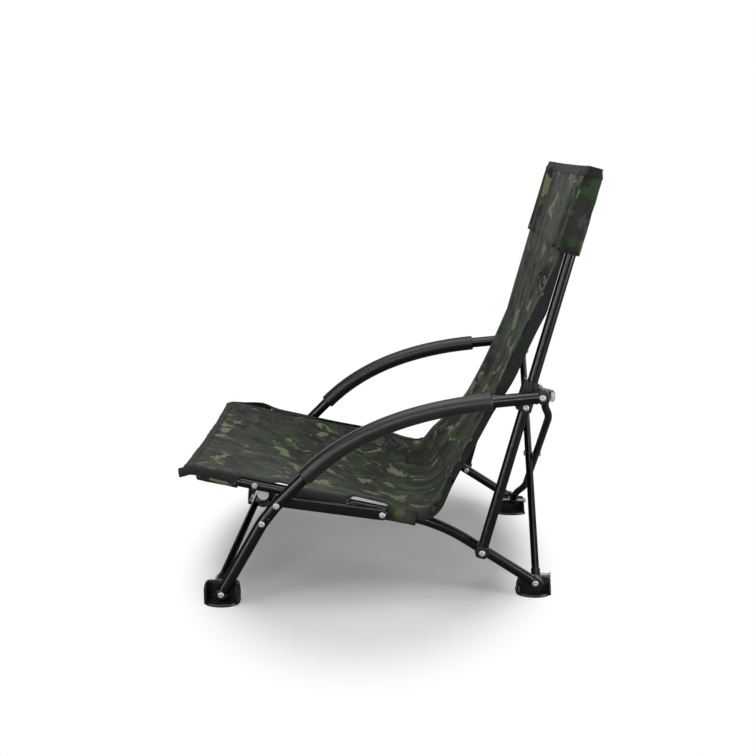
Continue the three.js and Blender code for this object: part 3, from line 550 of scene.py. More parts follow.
# Arm grips
# Sleeves of dense black foam, pushed over the bent part of each arm. The skin is satin, with
# a fine moulded grain, and the cut ends are slightly rounded.
foam_shades = (0.0060, 0.0060, 0.0064), (0.0095, 0.0095, 0.0100)
foam = grained("foam_grip", "soft_grip", *foam_shades, 0.36, 0.46, 1500, 0.04, sheen=0.04)
foam_line = [grip_start - arm_up * 0.004, *grip_line[1:-1], grip_end + arm_rearward * 0.004]
foam_radius, foam_edge = 0.0155, 0.0022
for grip in pair("arm_grip", "_foam", "arm", foam, tube, foam_line, arm_x, foam_radius, foam_edge, 40):
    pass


# Front feet
# Nylon mouldings like the rear feet: a rounded sole, a wall on the inside of the leg that
# the leg is riveted to, and end ribs. A zinc strap holds the lower end of the crossed brace.
dull_shades = (0.52, 0.52, 0.53), (0.66, 0.66, 0.67)
dull_zinc = grained("dull_zinc", "zinc_rivet", *dull_shades, 0.44, 0.58, 300, 0.05, metallic=0.7)
front_foot_top = foot_place.z + 0.0195
front_ribs = (
    (0.289, 0.274, front_foot_top - 0.004, 0.016),
    (0.289, 0.3165, front_foot_top - 0.001, front_foot_top - 0.006),
)
front_foot_sizes = (foot_place.y, (0.270, 0.3257), (0.286, 0.292), front_foot_top, front_ribs)
pair("front_foot", "_moulding", "front_foot", nylon, foot, *front_foot_sizes)

front_foot_pin = Vector((0, foot_place.y - 0.011, foot_place.z + 0.001))
front_hub_place, front_hub_pin = pin_place("left_front_hub_hinge"), pin_place("front_bowed_brace_hinge")
front_rise = (front_hub_pin - front_foot_pin).normalized()
front_back = behind(front_rise)


def strip(origin, direction, start, end, low, high):
    """Corners of a box laid along a direction in the side plane."""
    corners = ((start, low), (start, high), (end, high), (end, low))
    return [origin + direction * run + behind(direction) * offset for run, offset in corners]


foot_strap = (strip(front_foot_pin, front_rise, -0.009, 0.011, 0.0088, 0.0112), 0.2275, 0.2863, 0.0006)
pair("front_foot_strap", "", "front_foot", dull_zinc, slab, *foot_strap, listed=False)


# Collars
# Nylon sleeves that run on the uprights as the chair folds. Each has a sloping nose in
# front, a wing behind it that carries the arm and the hub, and a small rivet low outside.
def drum(mesh, place, radius, length, edge, steps=28):
    """A short round boss along X with chamfered rims, starting at a place."""
    rim = [(0, 0), (radius - edge, 0), (radius, edge)]
    turned(mesh, rim + [(size, length - height) for size, height in reversed(rim)], place, steps=steps)


def arm_collar(mesh):
    tube(mesh, [on_upright(0.270), on_upright(0.324)], upright_x, 0.013, 0.0012, 36)
    wing = [on_upright(0.2894), on_upright(0.2894, 0.0194), on_upright(0.319, 0.0194), on_upright(0.319)]
    slab(mesh, rounded(wing, 0.003), 0.267, 0.291, 0.0014)
    drum(mesh, in_side(arm_rear_place, 0.266), 0.011, 0.026, 0.0012)
    nose = [
        on_upright(0.272, -0.0165), on_upright(0.270, 0.006),
        on_upright(0.3205, 0.006), on_upright(0.3275, -0.0155),
    ]
    slab(mesh, rounded(nose, 0.0022), 0.2665, 0.2915, 0.0022)


pair("arm_collar", "_moulding", "collar", nylon, arm_collar)


# Rear hubs
# Nylon brackets that hang from the collars' pins, inside the uprights. A web reaches back to
# the pin of the rear brace's top, with a small dull zinc plate on its outer face.
rear_foot_pin = pin_place("rear_straight_brace_hinge")
rear_hub_pin = Vector((0, arm_rear_place.y + 0.0191, arm_rear_place.z - 0.0122))
rear_rise = (rear_hub_pin - rear_foot_pin).normalized()
rear_back = behind(rear_rise)
hub_plate = rounded(strip(rear_hub_pin, rear_rise, -0.0045, 0.0125, 0.0008, 0.0072), 0.0010)
pair("rear_hub_strap", "", "rear_hub", dull_zinc, slab, hub_plate, 0.2649, 0.2663, 0.0003, listed=False)


def rear_hub(mesh):
    drum(mesh, in_side(arm_rear_place, 0.241), 0.010, 0.0245, 0.001)
    web = [
        rear_hub_pin - rear_rise * 0.0025 + rear_back * 0.0086,
        rear_hub_pin + rear_rise * 0.0120 + rear_back * 0.0086,
        arm_rear_place + rear_rise * 0.006, arm_rear_place - rear_rise * 0.008,
    ]
    slab(mesh, web, 0.2415, 0.265, 0.0012)


pair("rear_hub", "_moulding", "rear_hub", nylon, rear_hub)


# Front hubs
# Forked nylon brackets under the rails. The upper end of the front brace sits in the fork
# on a pin, between the moulding and a zinc strap, with a dull zinc washer on the outer face.
def front_hub(mesh):
    cheek = rounded(strip(front_hub_pin, front_rise, -0.008, 0.019, 0.009, 0.014), 0.001)
    slab(mesh, cheek, 0.228, 0.2495, 0.0008)
    slab(mesh, strip(front_hub_pin, front_rise, 0.0135, 0.019, -0.0135, 0.0135), 0.2285, 0.249, 0.0008)
    drum(mesh, in_side(front_hub_place, 0.228), 0.009, 0.0215, 0.001)


hub_strap = (strip(front_hub_pin, front_rise, -0.008, 0.028, -0.0125, -0.0092), 0.228, 0.2495, 0.0006)
washer = (in_side(front_hub_place + Vector((0, 0.0125, -0.0215)), 0.2494), 0.0108, 0.0014, 0.0004, 40)
pair("front_hub", "_moulding", "front_hub", nylon, front_hub)
pair("front_hub_strap", "", "front_hub", dull_zinc, slab, *hub_strap, listed=False)
pair("front_hub_washer", "", "front_hub", dull_zinc, drum, *washer, listed=False)


# Crossed braces
# 14 mm tubes in two pairs. One of each pair is straight and the other is set back along
# its middle to pass it. Nylon caps close their ends, where the pins go through.
bow = 0.0155
brace_pairs = (
    ("front", front_foot_pin, front_hub_pin, front_back, 0.238),
    ("rear", rear_foot_pin, rear_hub_pin, rear_back, 0.228),
)


def brace(end, kind, foot_pin, hub_pin, back, x, set_back):
    """A tube from a foot pin up to a hub pin on the other side, set back along its middle, and its caps."""
    low, high = in_side(foot_pin, x), in_side(hub_pin, -x)
    run, length = (high - low).normalized(), (high - low).length
    overrun, tube_radius, cap_radius, cap_edge, sides = 0.006, 0.007, 0.0085, 0.0014, 28
    line = [low - run * overrun, high + run * overrun]
    if set_back:
        bends = [(0.048, 0), (0.092, set_back), (length - 0.092, set_back), (length - 0.048, 0)]
        line[1:1] = [low + run * reach + back * offset for reach, offset in bends]
        line = eased(line, 0.022, 6)
    mesh = bmesh.new()
    sweep(mesh, line, run.cross(back), tube_radius, sides)
    piece(f"{end}_brace_{kind}_tube", mesh, f"{end}_{kind}_brace", sprayed, [f"{end}_brace_{kind}"])
    caps = bmesh.new()
    for start, away in ((low, run), (high, -run)):
        points, radii = rounded_ends([start - away * 0.009, start + away * 0.012], cap_radius, cap_edge)
        sweep(caps, points, run.cross(back), radii, sides)
    piece(f"{end}_brace_{kind}_caps", caps, f"{end}_{kind}_brace", nylon)


for end, foot_pin, hub_pin, back, x in brace_pairs:
    brace(end, "straight", foot_pin, hub_pin, back, x, 0.0)
    brace(end, "bowed", foot_pin, hub_pin, back, -x, bow)


# Rivets and pins
# Zinc-plated tubular rivets with low domed heads and a small dimple from the setting tool.
# Each head bears on the fitting or the tube that it holds.
zinc_shades = (0.40, 0.40, 0.41), (0.52, 0.52, 0.53)
zinc = grained("bright_zinc", "zinc_rivet", *zinc_shades, 0.46, 0.58, 500, 0.04, metallic=0.85)
head_profile = (
    (0.0058, 0.0), (0.0058, 0.0006), (0.0053, 0.0013), (0.0043, 0.0019), (0.0030, 0.0022),
    (0.0022, 0.0023), (0.0018, 0.0021), (0.0015, 0.0018), (0.0008, 0.0017), (0.0, 0.0017),
)
shank = 0.0029


def riveted(name, place, axis, start, end, body, nodes=(), heads=(True, True), side=1):
    """A rivet along an axis through a place, from start to end, with a head where one shows."""
    mesh = bmesh.new()
    low = [(radius, start - height) for radius, height in reversed(head_profile)]
    high = [(radius, end + height) for radius, height in head_profile]
    profile = low if heads[0] else [(0, start)]
    profile += [(shank, start), (shank, end)]
    profile += high if heads[1] else [(0, end)]
    turned(mesh, profile, place, axis, 32)
    piece(name, mesh, body, zinc, nodes, side, 50)


outward = Vector((1, 0, 0))
side_rivets = (
    ("rear_foot_rivet", "rear_foot", rear_pivot, 0.2432, 0.2693, (True, True)),
    ("front_foot_rivet", "front_foot", foot_place, 0.2860, 0.3143, (False, True)),
    ("upright_rivet", "rail", upright_place, 0.2497, 0.2885, (True, True)),
    ("bar_rear_rivet", "rail", bar_place, 0.2497, 0.28755, (True, True)),
    ("front_hub_rivet", "rail", front_hub_place, 0.2277, 0.2693, (True, True)),
    ("leg_rivet", "arm", leg_rivet_place, 0.2922, 0.3148, (True, True)),
    ("bar_front_rivet", "arm", arm_place, 0.27395, 0.3148, (False, True)),
    ("arm_rear_rivet", "arm", arm_rear_place, 0.2930, 0.3143, (False, True)),
    ("collar_rivet", "collar", arm_rear_place, 0.2407, 0.2920, (True, False)),
)
brace_pins = {
    "front": (("foot", -0.0088, 0.0114, False), ("hub", -0.0143, 0.0143, True)),
    "rear": (("foot", -0.0360, 0.0256, True), ("hub", -0.0088, 0.0108, False)),
}
for side, sign in both_sides:
    for name, body, place, start, end, heads in side_rivets:
        nodes = [f"{name}_{side}"]
        riveted(f"{name}_{side}_zinc", place, outward, start, end, f"{side}_{body}", nodes, heads, sign)
    for end, foot_pin, hub_pin, back, x in brace_pairs:
        for (part, first, last, listed), pin in zip(brace_pins[end], (foot_pin, hub_pin)):
            name, body = f"{end}_{part}_pin_{side}", f"{side}_{end}_{part}"
            nodes = [name] if listed else []
            riveted(f"{name}_zinc", in_side(pin, x), back, first, last, body, nodes, side=sign)
    riveted(
        f"collar_lower_rivet_{side}", on_upright(0.279), outward, 0.2900, 0.2924, f"{side}_collar",
        heads=(False, True), side=sign,
    )

for end, foot_pin, hub_pin, back, x in brace_pairs:
    name, middle = f"{end}_cross_rivet", (foot_pin + hub_pin) / 2
    nodes = [name] if end == "rear" else []
    riveted(f"{name}_zinc", middle, back, -0.0073, bow + 0.0073, f"{end}_straight_brace", nodes)


# Sling seat
# Coated camouflage polyester, cut flat and sewn into sleeves that run over the rails. It
# sags a little between them and dips at the front, where black webbing binds its edge.
def over_rail(distance, lift):
    cloth_rise = 0.0108
    return rail_bend + rail_front * distance + behind(rail_front) * (cloth_rise + lift)


edge_steps = 24


def flowing(points):
    """A smooth line through points, as the edge of a cloth lies."""
    guides = [points[0] * 2 - points[1], *points, points[-1] * 2 - points[-2]]
    line = []
    for before, start, end, after in zip(guides, guides[1:], guides[2:], guides[3:]):
        first, middle, last = (math.sqrt(run.length) for run in (start - before, end - start, after - end))
        onward = (end - start) / middle
        leaving = ((start - before) / first - (end - before) / (first + middle) + onward) * middle
        arriving = (onward - (after - start) / (middle + last) + (after - end) / last) * middle
        line += interpolate_bezier(start, start + leaving / 3, end - arriving / 3, end, edge_steps + 1)[:-1]
    return [*line, points[-1]]


hem_reach = rail_front_length + 0.026
edge_points = [
    over_rail(hem_reach, -0.006), over_rail(rail_front_length + 0.013, 0), over_rail(0.3409, 0.0008),
    over_rail(0.22345, 0), over_rail(0.106, 0.003), over_rail(bend_reach, 0), over_rail(0.030, 0.0055),
    on_upright(0.140, -0.089), on_upright(0.253, -0.0635), on_upright(0.403, -0.0415),
    on_upright(0.473, -0.0285), on_upright(0.580, -0.0145),
]
edge_line = flowing(edge_points)
edge_run = [0.0]
for before, after in zip(edge_line, edge_line[1:]):
    edge_run.append(edge_run[-1] + (after - before).length)
sling_length = edge_run[-1]
points_before_corner = 6
seam_run = edge_run[edge_steps * points_before_corner] + 0.022


def edge_at(run):
    """The point of the cloth's edge line at a run from the front hem."""
    run = min(run, sling_length)
    number = min(max(bisect.bisect_right(edge_run, run), 1), len(edge_run) - 1)
    share = (run - edge_run[number - 1]) / (edge_run[number] - edge_run[number - 1])
    return edge_line[number - 1].lerp(edge_line[number], share)


def edge_normal(run):
    """The direction under the cloth, square to its edge line, at a run from the front hem."""
    ahead, after = edge_at(run - 0.004), edge_at(run + 0.004)
    return behind((after - ahead).normalized())


def smooth_step(low, high, value):
    share = min(max((value - low) / (high - low), 0.0), 1.0)
    return share * share * (3 - 2 * share)


def hump(value, peak, spread):
    return math.exp(-(((value - peak) / spread) ** 2))


def between(low, high, value, blur=0.008):
    return smooth_step(low - blur, low + blur, value) * (1 - smooth_step(high - blur, high + blur, value))


def drift(*place):
    return noise.noise(Vector(place))


def edge_shape(run):
    """Where the cloth starts to turn down, how tightly, how far round, and how far it lifts."""
    from_bend = hem_reach - run
    back = smooth_step(seam_run - 0.03, seam_run + 0.05, run)
    widened = smooth_step(0.53, 1, run / sling_length)
    start = rail_x + back * 0.012 + widened * 0.006
    radius = 0.0108 - back * 0.0058
    front_flat, rear_flat = between(0.272, 0.372, from_bend), between(0.044, 0.168, from_bend)
    turn = math.radians(96) - (math.radians(72) * front_flat + math.radians(78) * rear_flat)
    lift = 0.0044 * between(0.276, 0.305, from_bend) + 0.0055 * between(0.102, 0.170, from_bend)
    return start, radius, turn, lift


def half_width(run):
    start, radius, turn, _ = edge_shape(run)
    return start + radius * turn


def cloth_sag(run):
    share = run / sling_length
    seat_sag, back_sag = 0.038 * hump(share, 0.36, 0.2), 0.034 * hump(share, 0.74, 0.2)
    return seat_sag + back_sag + 0.003 * hump(share, 0, 0.2) + 0.014 * hump(share, 0.58, 0.2)


def far_pull(run):
    """How much nearer to its upright the far edge lies. The cloth hangs a little askew."""
    place = edge_at(run) - upright_place
    height, ahead = place.dot(upright_up), -place.dot(behind(upright_up))
    pull = max(0.0, min(0.034 * smooth_step(0.03, 0.19, height), ahead - 0.0112))
    return pull * smooth_step(-0.02, 0.05, run - seam_run)


def cloth_folds(run, across, belly):
    """Depth of the folds, creases and slack between the edges. Belly is 1 midway and 0 at them."""
    share = run / sling_length
    low_folds = math.cos(5 * math.pi * across / 0.27 + 0.6 * math.sin(run * 9)) * hump(share, 0.6, 0.12)
    long_folds = math.cos(7.3 * math.pi * across / 0.27 + 4 * run) * hump(share, 0.85, 0.16)
    depth = (0.005 * low_folds + 0.0028 * long_folds) * belly
    loose = drift(across * 9, run * 5, 2.7) * 0.0032
    loose += drift(across * 26, run * 13, 7.1) * 0.0012
    loose += drift(across * 60, run * 22, 4.4) * 0.0007
    depth += loose * smooth_step(0, 0.12, belly)
    depth -= 0.0016 * between(-0.010, 0.010, run - seam_run, 0.002) * belly
    near_folds = 0.011 * hump(across, 0.225, 0.020) - 0.017 * hump(across, 0.170, 0.024)
    return depth + hump(share, 0.915, 0.035) * (near_folds + 0.006 * hump(across, -0.2, 0.03))


def cloth_place(run, across, raised=0.0):
    """A point of the sling, from its run along the edge and its flat distance from the middle."""
    start, radius, turn, lift = edge_shape(run)
    side, width = (1 if across >= 0 else -1), abs(across)
    angle = max(width - start, 0.0) / radius
    x, depth = min(width, start) + radius * math.sin(angle), radius * (1 - math.cos(angle))
    belly = max(0.0, 1 - (x / 0.248) ** 2)
    depth += cloth_sag(run) * belly + cloth_folds(run, across, belly)
    if side > 0:
        depth -= lift * smooth_step(start - 0.05, start, width)
    else:
        depth += far_pull(run) * smooth_step(0, start, width)
    lifted = raised * max(math.cos(min(angle, turn)), 0.0)
    place = edge_at(run) + edge_normal(run) * (depth - lifted)
    return in_side(place, side * (x + raised * math.sin(angle)))


def laid_cloth(columns, rows, lay):
    """A grid of cloth. From shares across and along, lay gives a place, its map and its seam distance."""
    mesh = bmesh.new()
    bmesh.ops.create_grid(mesh, x_segments=columns, y_segments=rows, size=1, calc_uvs=True)
    flat = mesh.loops.layers.uv.verify()
    sewn = mesh.verts.layers.float.new("seam")
    laid = {vert: lay((vert.co.x + 1) / 2, (vert.co.y + 1) / 2) for vert in mesh.verts}
    for face in mesh.faces:
        for loop in face.loops:
            loop[flat].uv = laid[loop.vert][1]
    for vert, (place, _, from_seam) in laid.items():
        vert.co = place
        vert[sewn] = from_seam
    return mesh


def thickened(mesh, thickness):
    bmesh.ops.solidify(mesh, geom=mesh.faces[:], thickness=thickness)
    return mesh


cloth_thickness, tape_thickness = 0.0011, 0.0012
quick_share = 1.0
cloth_columns = int(88 * quick_share)


def sling_panel(first, last, rows, columns, across_at, raised=0.0, thickness=tape_thickness):
    """A woven panel between two runs of the sling. Its map is the flat cloth in metres."""
    def lay(share, along):
        run = first + (last - first) * along
        across = across_at(run, share)
        return cloth_place(run, across, raised), (across, run), run - seam_run

    return thickened(laid_cloth(columns, rows, lay), thickness)


def full_width(inset=0.0):
    return lambda run, share: (2 * share - 1) * (half_width(run) - inset)


# Weave gives the rise and fall of crossed threads at a pitch, and a slight tint for each thread
weave_inputs, weave_outputs = {"Flat": "Vector", "Threads": "Float"}, {"Height": "Float", "Tint": "Float"}
weave, weave_in, weave_out = node_group("weave", weave_inputs, weave_outputs)
weave_size = add_node(weave, "VectorMath", {
    0: weave_in.outputs["Flat"], "Scale": weave_in.outputs["Threads"],
}, operation="SCALE")
weave_parts = add_node(weave, "SeparateXYZ", {"Vector": weave_size})


def maths(tree, operation, *values):
    return add_node(tree, "Math", dict(enumerate(values)), operation=operation)


weave_waves = [maths(weave, "SINE", weave_parts.outputs[way]) for way in ("X", "Y")]
feed(weave, weave_out, {
    "Height": maths(weave, "MULTIPLY", *weave_waves),
    "Tint": add_node(weave, "TexNoise", {"Vector": weave_size, "Scale": 0.35, "Detail": 2}),
})


def woven(name, pitch, rough, gleam, sheen):
    """A material for cloth in threads of a pitch. Also gives its tree, its flat map and its weave."""
    finish = plain_finish(name, {"Roughness": rough, "Specular IOR Level": gleam, "Sheen Weight": sheen})
    tree = finish.node_tree
    flat = add_node(tree, "UVMap")
    threads = add_node(tree, "Group", {"Flat": flat, "Threads": 2 * math.pi / pitch}, node_tree=weave)
    return finish, tree, flat, threads


def ragged(tree, flat, amount):
    """The flat place, shifted by fine noise, so that printed edges come out jagged."""
    shift = add_node(tree, "TexNoise", {"Vector": flat, "Scale": 42, "Detail": 3, "Roughness": 0.6})
    shifted = {0: shift.outputs["Color"], 1: (0.5, 0.5, 0.5)}
    centred = add_node(tree, "VectorMath", shifted, operation="SUBTRACT")
    scaled = add_node(tree, "VectorMath", {0: centred, 1: (amount, amount * 1.6, 0)}, operation="MULTIPLY")
    return add_node(tree, "VectorMath", {0: flat, 1: scaled}, operation="ADD")


def patches(tree, flat, stretch, turn, scale, low, high, distortion, seed):
    """A mask of islands, stretched along the cloth."""
    placed = add_node(tree, "Mapping", {
        "Vector": flat, "Location": (seed, seed * 0.7, seed * 0.3), "Rotation": (0, 0, turn),
        "Scale": (stretch, 1, 1),
    })
    cloud = add_node(tree, "TexNoise", {
        "Vector": placed, "Scale": scale, "Detail": 3.5, "Roughness": 0.55, "Distortion": distortion,
    })
    return add_node(tree, "MapRange", {"Value": cloud, "From Min": low, "From Max": high})


def layered(tree, under, colour, mask):
    """Lay one ink over what is already printed, through a mask."""
    layers = {"Factor": mask, "A": under, "B": (*colour, 1)}
    return add_node(tree, "Mix", layers, data_type="RGBA").outputs["Result"]


# Each ink: its colour, then stretch, turn, scale, low and high edge, distortion and seed of its patches
camo_inks = (
    ((0.008, 0.0075, 0.007), 1.1, 0.10, 17, 0.50, 0.58, 0.4, 3.1),
    ((0.044, 0.041, 0.038), 1.3, -0.15, 22, 0.57, 0.62, 0.4, 9.4),
    ((0.018, 0.044, 0.015), 1.3, 0.12, 18, 0.556, 0.568, 0.7, 5.2),
    ((0.040, 0.074, 0.026), 1.5, -0.06, 28, 0.596, 0.608, 0.7, 2.6),
    ((0.158, 0.176, 0.082), 1.0, -0.08, 18, 0.588, 0.600, 0.9, 6.9),
    ((0.005, 0.005, 0.0045), 1.2, 0.05, 22, 0.612, 0.624, 0.7, 7.6),
)


def camouflage_cloth():
    """The printed cloth, with two rows of stitches along each seam and painted shade darkening its fold."""
    finish, tree, flat, threads = woven("camouflage_cloth", 0.0011, 0.72, 0.14, 0.05)
    jagged = ragged(tree, flat, 0.026)
    printed = (0.021, 0.0195, 0.0185, 1)
    for ink, *shape in camo_inks:
        printed = layered(tree, printed, ink, patches(tree, jagged, *shape))
    shade = add_node(tree, "MapRange", {"Value": threads.outputs["Tint"], "To Min": 0.56, "To Max": 1.08})
    tinted = add_node(tree, "HueSaturation", {"Color": printed, "Value": shade})

    seam_distance = add_node(tree, "Attribute", attribute_name="seam").outputs["Fac"]
    away = maths(tree, "ABSOLUTE", seam_distance)
    rows = [maths(tree, "COMPARE", away, row, 0.0008) for row in (0.0030, 0.0082)]
    stitch_pitch, stitch_gap = 0.0032, 0.28
    along_row = add_node(tree, "SeparateXYZ", {"Vector": flat}).outputs["X"]
    in_stitch = maths(tree, "FRACT", maths(tree, "MULTIPLY", along_row, 1 / stitch_pitch))
    dashes = maths(tree, "GREATER_THAN", in_stitch, stitch_gap)
    stitches = maths(tree, "MULTIPLY", maths(tree, "MAXIMUM", *rows), dashes)
    # Painted shade: within 1.8 mm of each seam the cloth is darkened almost to black, standing in for the
    # shade in the seam's fold.
    fold = maths(tree, "MULTIPLY", maths(tree, "LESS_THAN", away, 0.0018), 0.85)
    painted_seam_shade = layered(tree, tinted, (0.003, 0.003, 0.003), fold)
    sewn = layered(tree, painted_seam_shade, (0.008, 0.008, 0.008), stitches)

    pressed = maths(tree, "MULTIPLY", maths(tree, "COMPARE", away, 0.0056, 0.0042), -0.8)
    height = maths(tree, "MULTIPLY_ADD", threads.outputs["Height"], 0.22, pressed)
    height = maths(tree, "ADD", height, maths(tree, "MULTIPLY", stitches, 1.2))
    bump = add_node(tree, "Bump", {"Height": height, "Strength": 0.5, "Distance": 0.0005})
    feed(tree, tree.nodes["Principled BSDF"], {"Base Color": sewn, "Normal": bump})
    return finish


camouflage = camouflage_cloth()


def sewn_piece(name, mesh, body, finish, nodes=(), crease=60):
    return piece(name, mesh, body, (finish, "camouflage_cloth"), nodes, crease=crease)


seat_rows = int(80 * quick_share)
seat_mesh = sling_panel(0.001, seam_run, seat_rows, cloth_columns, full_width(), 0.0, cloth_thickness)
seat = sewn_piece("sling_seat_cloth", seat_mesh, "left_rail", camouflage, ["sling_cloth"])


# Black webbing on the seat
# Woven polypropylene, folded over the cut edge of the cloth and sewn through: a hem across the
# front, and a strip down each side. The near strip's folded end sticks out past the hem.
def black_webbing():
    finish, tree, _, threads = woven("black_webbing", 0.0019, 0.80, 0.22, 0.10)
    colour = layered(tree, (0.0050, 0.0050, 0.0054, 1), (0.0110, 0.0110, 0.0115), threads.outputs["Tint"])
    bump = add_node(tree, "Bump", {"Height": threads.outputs["Height"], "Strength": 0.6, "Distance": 0.0006})
    feed(tree, tree.nodes["Principled BSDF"], {"Base Color": colour, "Normal": bump})
    return finish


webbing = black_webbing()
hem_width, tape_width, tape_lift = 0.017, 0.0165, 0.0013
hem_mesh = sling_panel(0.0, hem_width, 6, cloth_columns, full_width(0.002), tape_lift)
hem = sewn_piece("seat_front_hem", hem_mesh, "left_rail", webbing)
for panel in (seat, hem):
    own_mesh(panel)


def far_proud(vert):
    """How far the far strip stands up from the cloth, where it shows beyond the seat."""
    from_hem = (vert.co - in_side(edge_line[0], vert.co.x)).length
    proud = 0.0036 * smooth_step(0.02, 0.06, from_hem) + 0.006 * between(0.062, 0.098, from_hem, 0.024)
    proud *= 1 - 0.6 * smooth_step(0.30, 0.42, from_hem)
    return proud * smooth_step(0.250, 0.263, -vert.co.x)


def beside_edge(sign):
    return lambda run, share: sign * (half_width(run) + 0.0012 - tape_width * (1 - share))


side_tape_runs = {"left": (-0.009, hem_reach - 0.172), "right": (-0.002, seam_run - 0.020)}
for side, sign in both_sides:
    mesh = sling_panel(*side_tape_runs[side], int(96 * quick_share), 8, beside_edge(sign), tape_lift)
    if side == "right":
        for vert in mesh.verts:
            vert.co += behind(rail_front) * far_proud(vert)
    sewn_piece(f"seat_side_tape_{side}", mesh, f"{side}_rail", webbing)


# Sling back
# The same cloth, seamed to the seat at the low corner and rising in front of the uprights
# to the pocket's hem. Its long edges are bound in webbing that turns rearward.
back_last = sling_length - 0.0005
back_rows = int(90 * quick_share)
back_mesh = sling_panel(seam_run, back_last, back_rows, cloth_columns, full_width(), 0.0, cloth_thickness)
back = sewn_piece("sling_back_cloth", back_mesh, "left_upright", camouflage)
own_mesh(back)


def back_tape(side, sign):
    """Webbing down one long edge of the back: a lip over the cloth, then a flat run rearward."""
    first, lip = seam_run - 0.035, 0.3

    def lay(share, along):
        run = first + (back_last - first) * along
        flat, from_seam = (share * 0.020, run), run - seam_run
        inset = 0.0030 * max(1 - share / lip, 0.0)
        edge = cloth_place(run, sign * (half_width(run) - inset), tape_lift)
        if share < lip:
            return edge, flat, from_seam
        height = (edge_at(run) - upright_place).dot(upright_up)
        gap = (edge - upright_place).dot(-behind(upright_up))
        reach = min(0.006 + 0.0095 * smooth_step(0.24, 0.34, height), max(gap - 0.0110, 0.0012))
        reach *= smooth_step(first - 0.002, first + 0.045, run)
        return edge + edge_normal(run) * reach * (share - lip) / (1 - lip), flat, from_seam

    mesh = thickened(laid_cloth(8, back_rows, lay), tape_thickness)
    return sewn_piece(f"back_edge_tape_{side}", mesh, f"{side}_upright", webbing)


back_tapes = [back_tape(side, sign) for side, sign in both_sides]
back_flat = (2 * half_width((seam_run + back_last) / 2), back_last - seam_run)


# Rail sleeves
# The sling's edges go down round the rails and are sewn back on themselves, in three places
# on each side: at the tip, at the middle behind the arm, and just ahead of the bend.
sleeve_runs = (
    ("front", 0.372, 0.446, 84, 0.0109),
    ("middle", 0.176, 0.290, 84, 0.0109),
    ("rear", 0.0435, 0.0990, 10, 0.0132),
)


def rail_sleeve(sign, start, end, first_turn, tightness):
    def lay(share, along):
        distance = start + (end - start) * along
        angle = math.radians(first_turn + (274 - first_turn) * share)
        slack = 0.0008 * drift(share * 3, distance * 60, sign * 2 + start * 40)
        radius = tightness + slack + 0.0009 * math.sin(math.pi * share)
        place = rail_bend + rail_front * distance + behind(rail_front) * radius * math.cos(angle)
        from_seam = min(distance - start, end - distance) - 0.0005
        flat = (0.28 + share * 0.05, hem_reach - distance)
        return in_side(place, sign * (rail_x + radius * math.sin(angle))), flat, from_seam

    return thickened(laid_cloth(22, 10, lay), 0.001)


for side, sign in both_sides:
    for name, *sizes in sleeve_runs:
        mesh = rail_sleeve(sign, *sizes)
        sewn_piece(f"rail_sleeve_{name}_{side}", mesh, f"{side}_rail", camouflage)
seat_flat = (2 * half_width(0.236), seam_run)


# Head pocket
# A flat tube of the same cloth, hemmed with two rows of stitches and pulled down over both
# uprights. Black webbing closes its top. It creases along its length at the sides.
pocket_half, pocket_rear, pocket_corner = 0.2898, 0.0135, 0.0085
pocket_low, pocket_top = 0.555, 0.7053


def pocket_crease(x, rise, way):
    """Depth of the pocket's long creases at a share of its height. Way tells front from rear."""
    share = abs(x) / pocket_half
    slack = smooth_step(1.0, 0.9, share) * (1 - smooth_step(0.93, 1.0, rise))
    fold = math.sin(x * 96 + 2.2 * rise + 0.9 * math.sin(5 * rise)) * 0.0044 * smooth_step(0.3, 0.75, share)
    ridge = hump(x, 0.200 + 0.026 * rise, 0.010) * 0.0075 - hump(x, 0.232 - 0.018 * rise, 0.012) * 0.0052
    loose = drift(x * 14, rise * 1.6, way) * 0.0034
    loose += drift(x * 45, rise * 5, way) * 0.0014
    return (fold - ridge + loose) * slack


def pocket_end(sign, first, last, rise):
    """Points round one end of the pocket: a quarter turn, a dented flat and a quarter turn."""
    points, turns, flat_steps = [], 6, 5
    quarter = [math.pi / 2 * step / turns for step in range(1, turns)]
    for angle in quarter:
        points.append((pocket_corner * (1 - math.sin(angle)), first + pocket_corner * (1 - math.cos(angle))))
    for step in range(flat_steps + 1):
        dent = 0.0016 * math.sin(math.pi * step / flat_steps) * (0.6 + 0.4 * math.sin(rise * 5))
        points.append((dent, first + pocket_corner + (last - first - 2 * pocket_corner) * step / flat_steps))
    for angle in quarter:
        points.append((pocket_corner * (1 - math.cos(angle)), last - pocket_corner * (1 - math.sin(angle))))
    return [(sign * (pocket_half - inset), depth) for inset, depth in points]


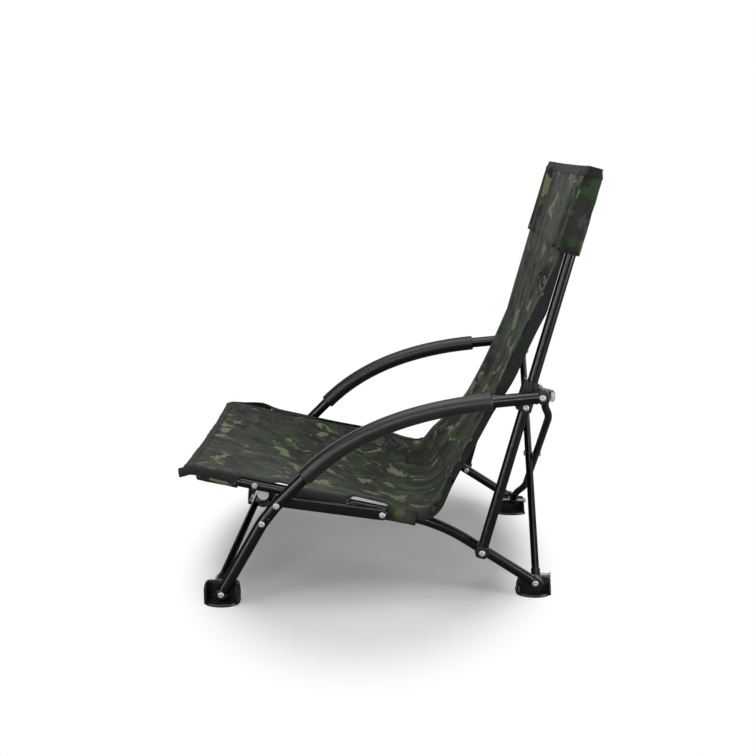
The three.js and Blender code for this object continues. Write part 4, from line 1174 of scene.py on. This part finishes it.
@functools.cache
def pocket_loop(height):
    """Points round the pocket at a height up the uprights, as (x, depth behind their axis)."""
    rise = (height - pocket_low) / (pocket_top - pocket_low)
    pinch = 0.0035 * smooth_step(0.86, 1.0, rise)
    near, far, rear_depth = 0.0255 - 0.009 * rise, 0.0160 - 0.002 * rise, pocket_rear - pinch

    def front_depth(x):
        return pinch - far + (far - near) * smooth_step(-1, 1, x / pocket_half)

    def bulge(x):
        return 1 - (x / pocket_half) ** 2

    steps, flat_half = 72, pocket_half - pocket_corner
    across = [flat_half * (2 * step / steps - 1) for step in range(steps + 1)]
    front = [(x, front_depth(x) + 0.010 * bulge(x) + pocket_crease(x, rise, 1.0)) for x in across]
    rear = [(x, rear_depth + 0.005 * bulge(x) + pocket_crease(x, rise, 5.0)) for x in across]
    near_end = pocket_end(1, front_depth(pocket_half), rear_depth, rise)
    far_end = pocket_end(-1, front_depth(-pocket_half), rear_depth, rise)
    return front + near_end + rear[::-1] + far_end[::-1]


def pocket_tube(low, rows, outset=0.0):
    """The pocket's cloth from a height to its top, set outward."""
    lowest = pocket_loop(low)
    columns = len(lowest)
    runs = [0.0]
    for start, end in zip(lowest, [*lowest[1:], lowest[0]]):
        runs.append(runs[-1] + math.dist(start, end))

    def lay(share, along):
        number, height = round(share * columns), low + (pocket_top - low) * along
        x, depth = pocket_loop(height)[number % columns]
        hem_seam, print_start = pocket_low + 0.0035, 4.6
        return in_side(on_upright(height, depth), x), (runs[number], print_start + height), height - hem_seam

    mesh = laid_cloth(columns, rows, lay)
    bmesh.ops.remove_doubles(mesh, verts=mesh.verts[:], dist=0.00005)
    bmesh.ops.recalc_face_normals(mesh, faces=mesh.faces)
    mesh.normal_update()
    for vert in mesh.verts:
        vert.co += vert.normal * outset
    return mesh


def at_top(vert):
    return (vert.co - upright_place).dot(upright_up) > pocket_top - 0.002


pocket_mesh = thickened(pocket_tube(pocket_low, 26), cloth_thickness)
pocket = sewn_piece("head_pocket_cloth", pocket_mesh, "left_upright", camouflage, ["head_pocket"])

band_mesh = pocket_tube(pocket_top - 0.017, 5, cloth_thickness)
band_rim = [edge for edge in band_mesh.edges if edge.is_boundary and all(at_top(vert) for vert in edge.verts)]
bmesh.ops.holes_fill(band_mesh, edges=band_rim, sides=0)
band = sewn_piece("head_pocket_band", band_mesh, "left_upright", webbing, crease=40)
for panel in (pocket, band):
    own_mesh(panel)

hem_loop = pocket_loop(pocket_low)
pocket_round = sum(math.dist(start, end) for start, end in zip(hem_loop, hem_loop[1:]))
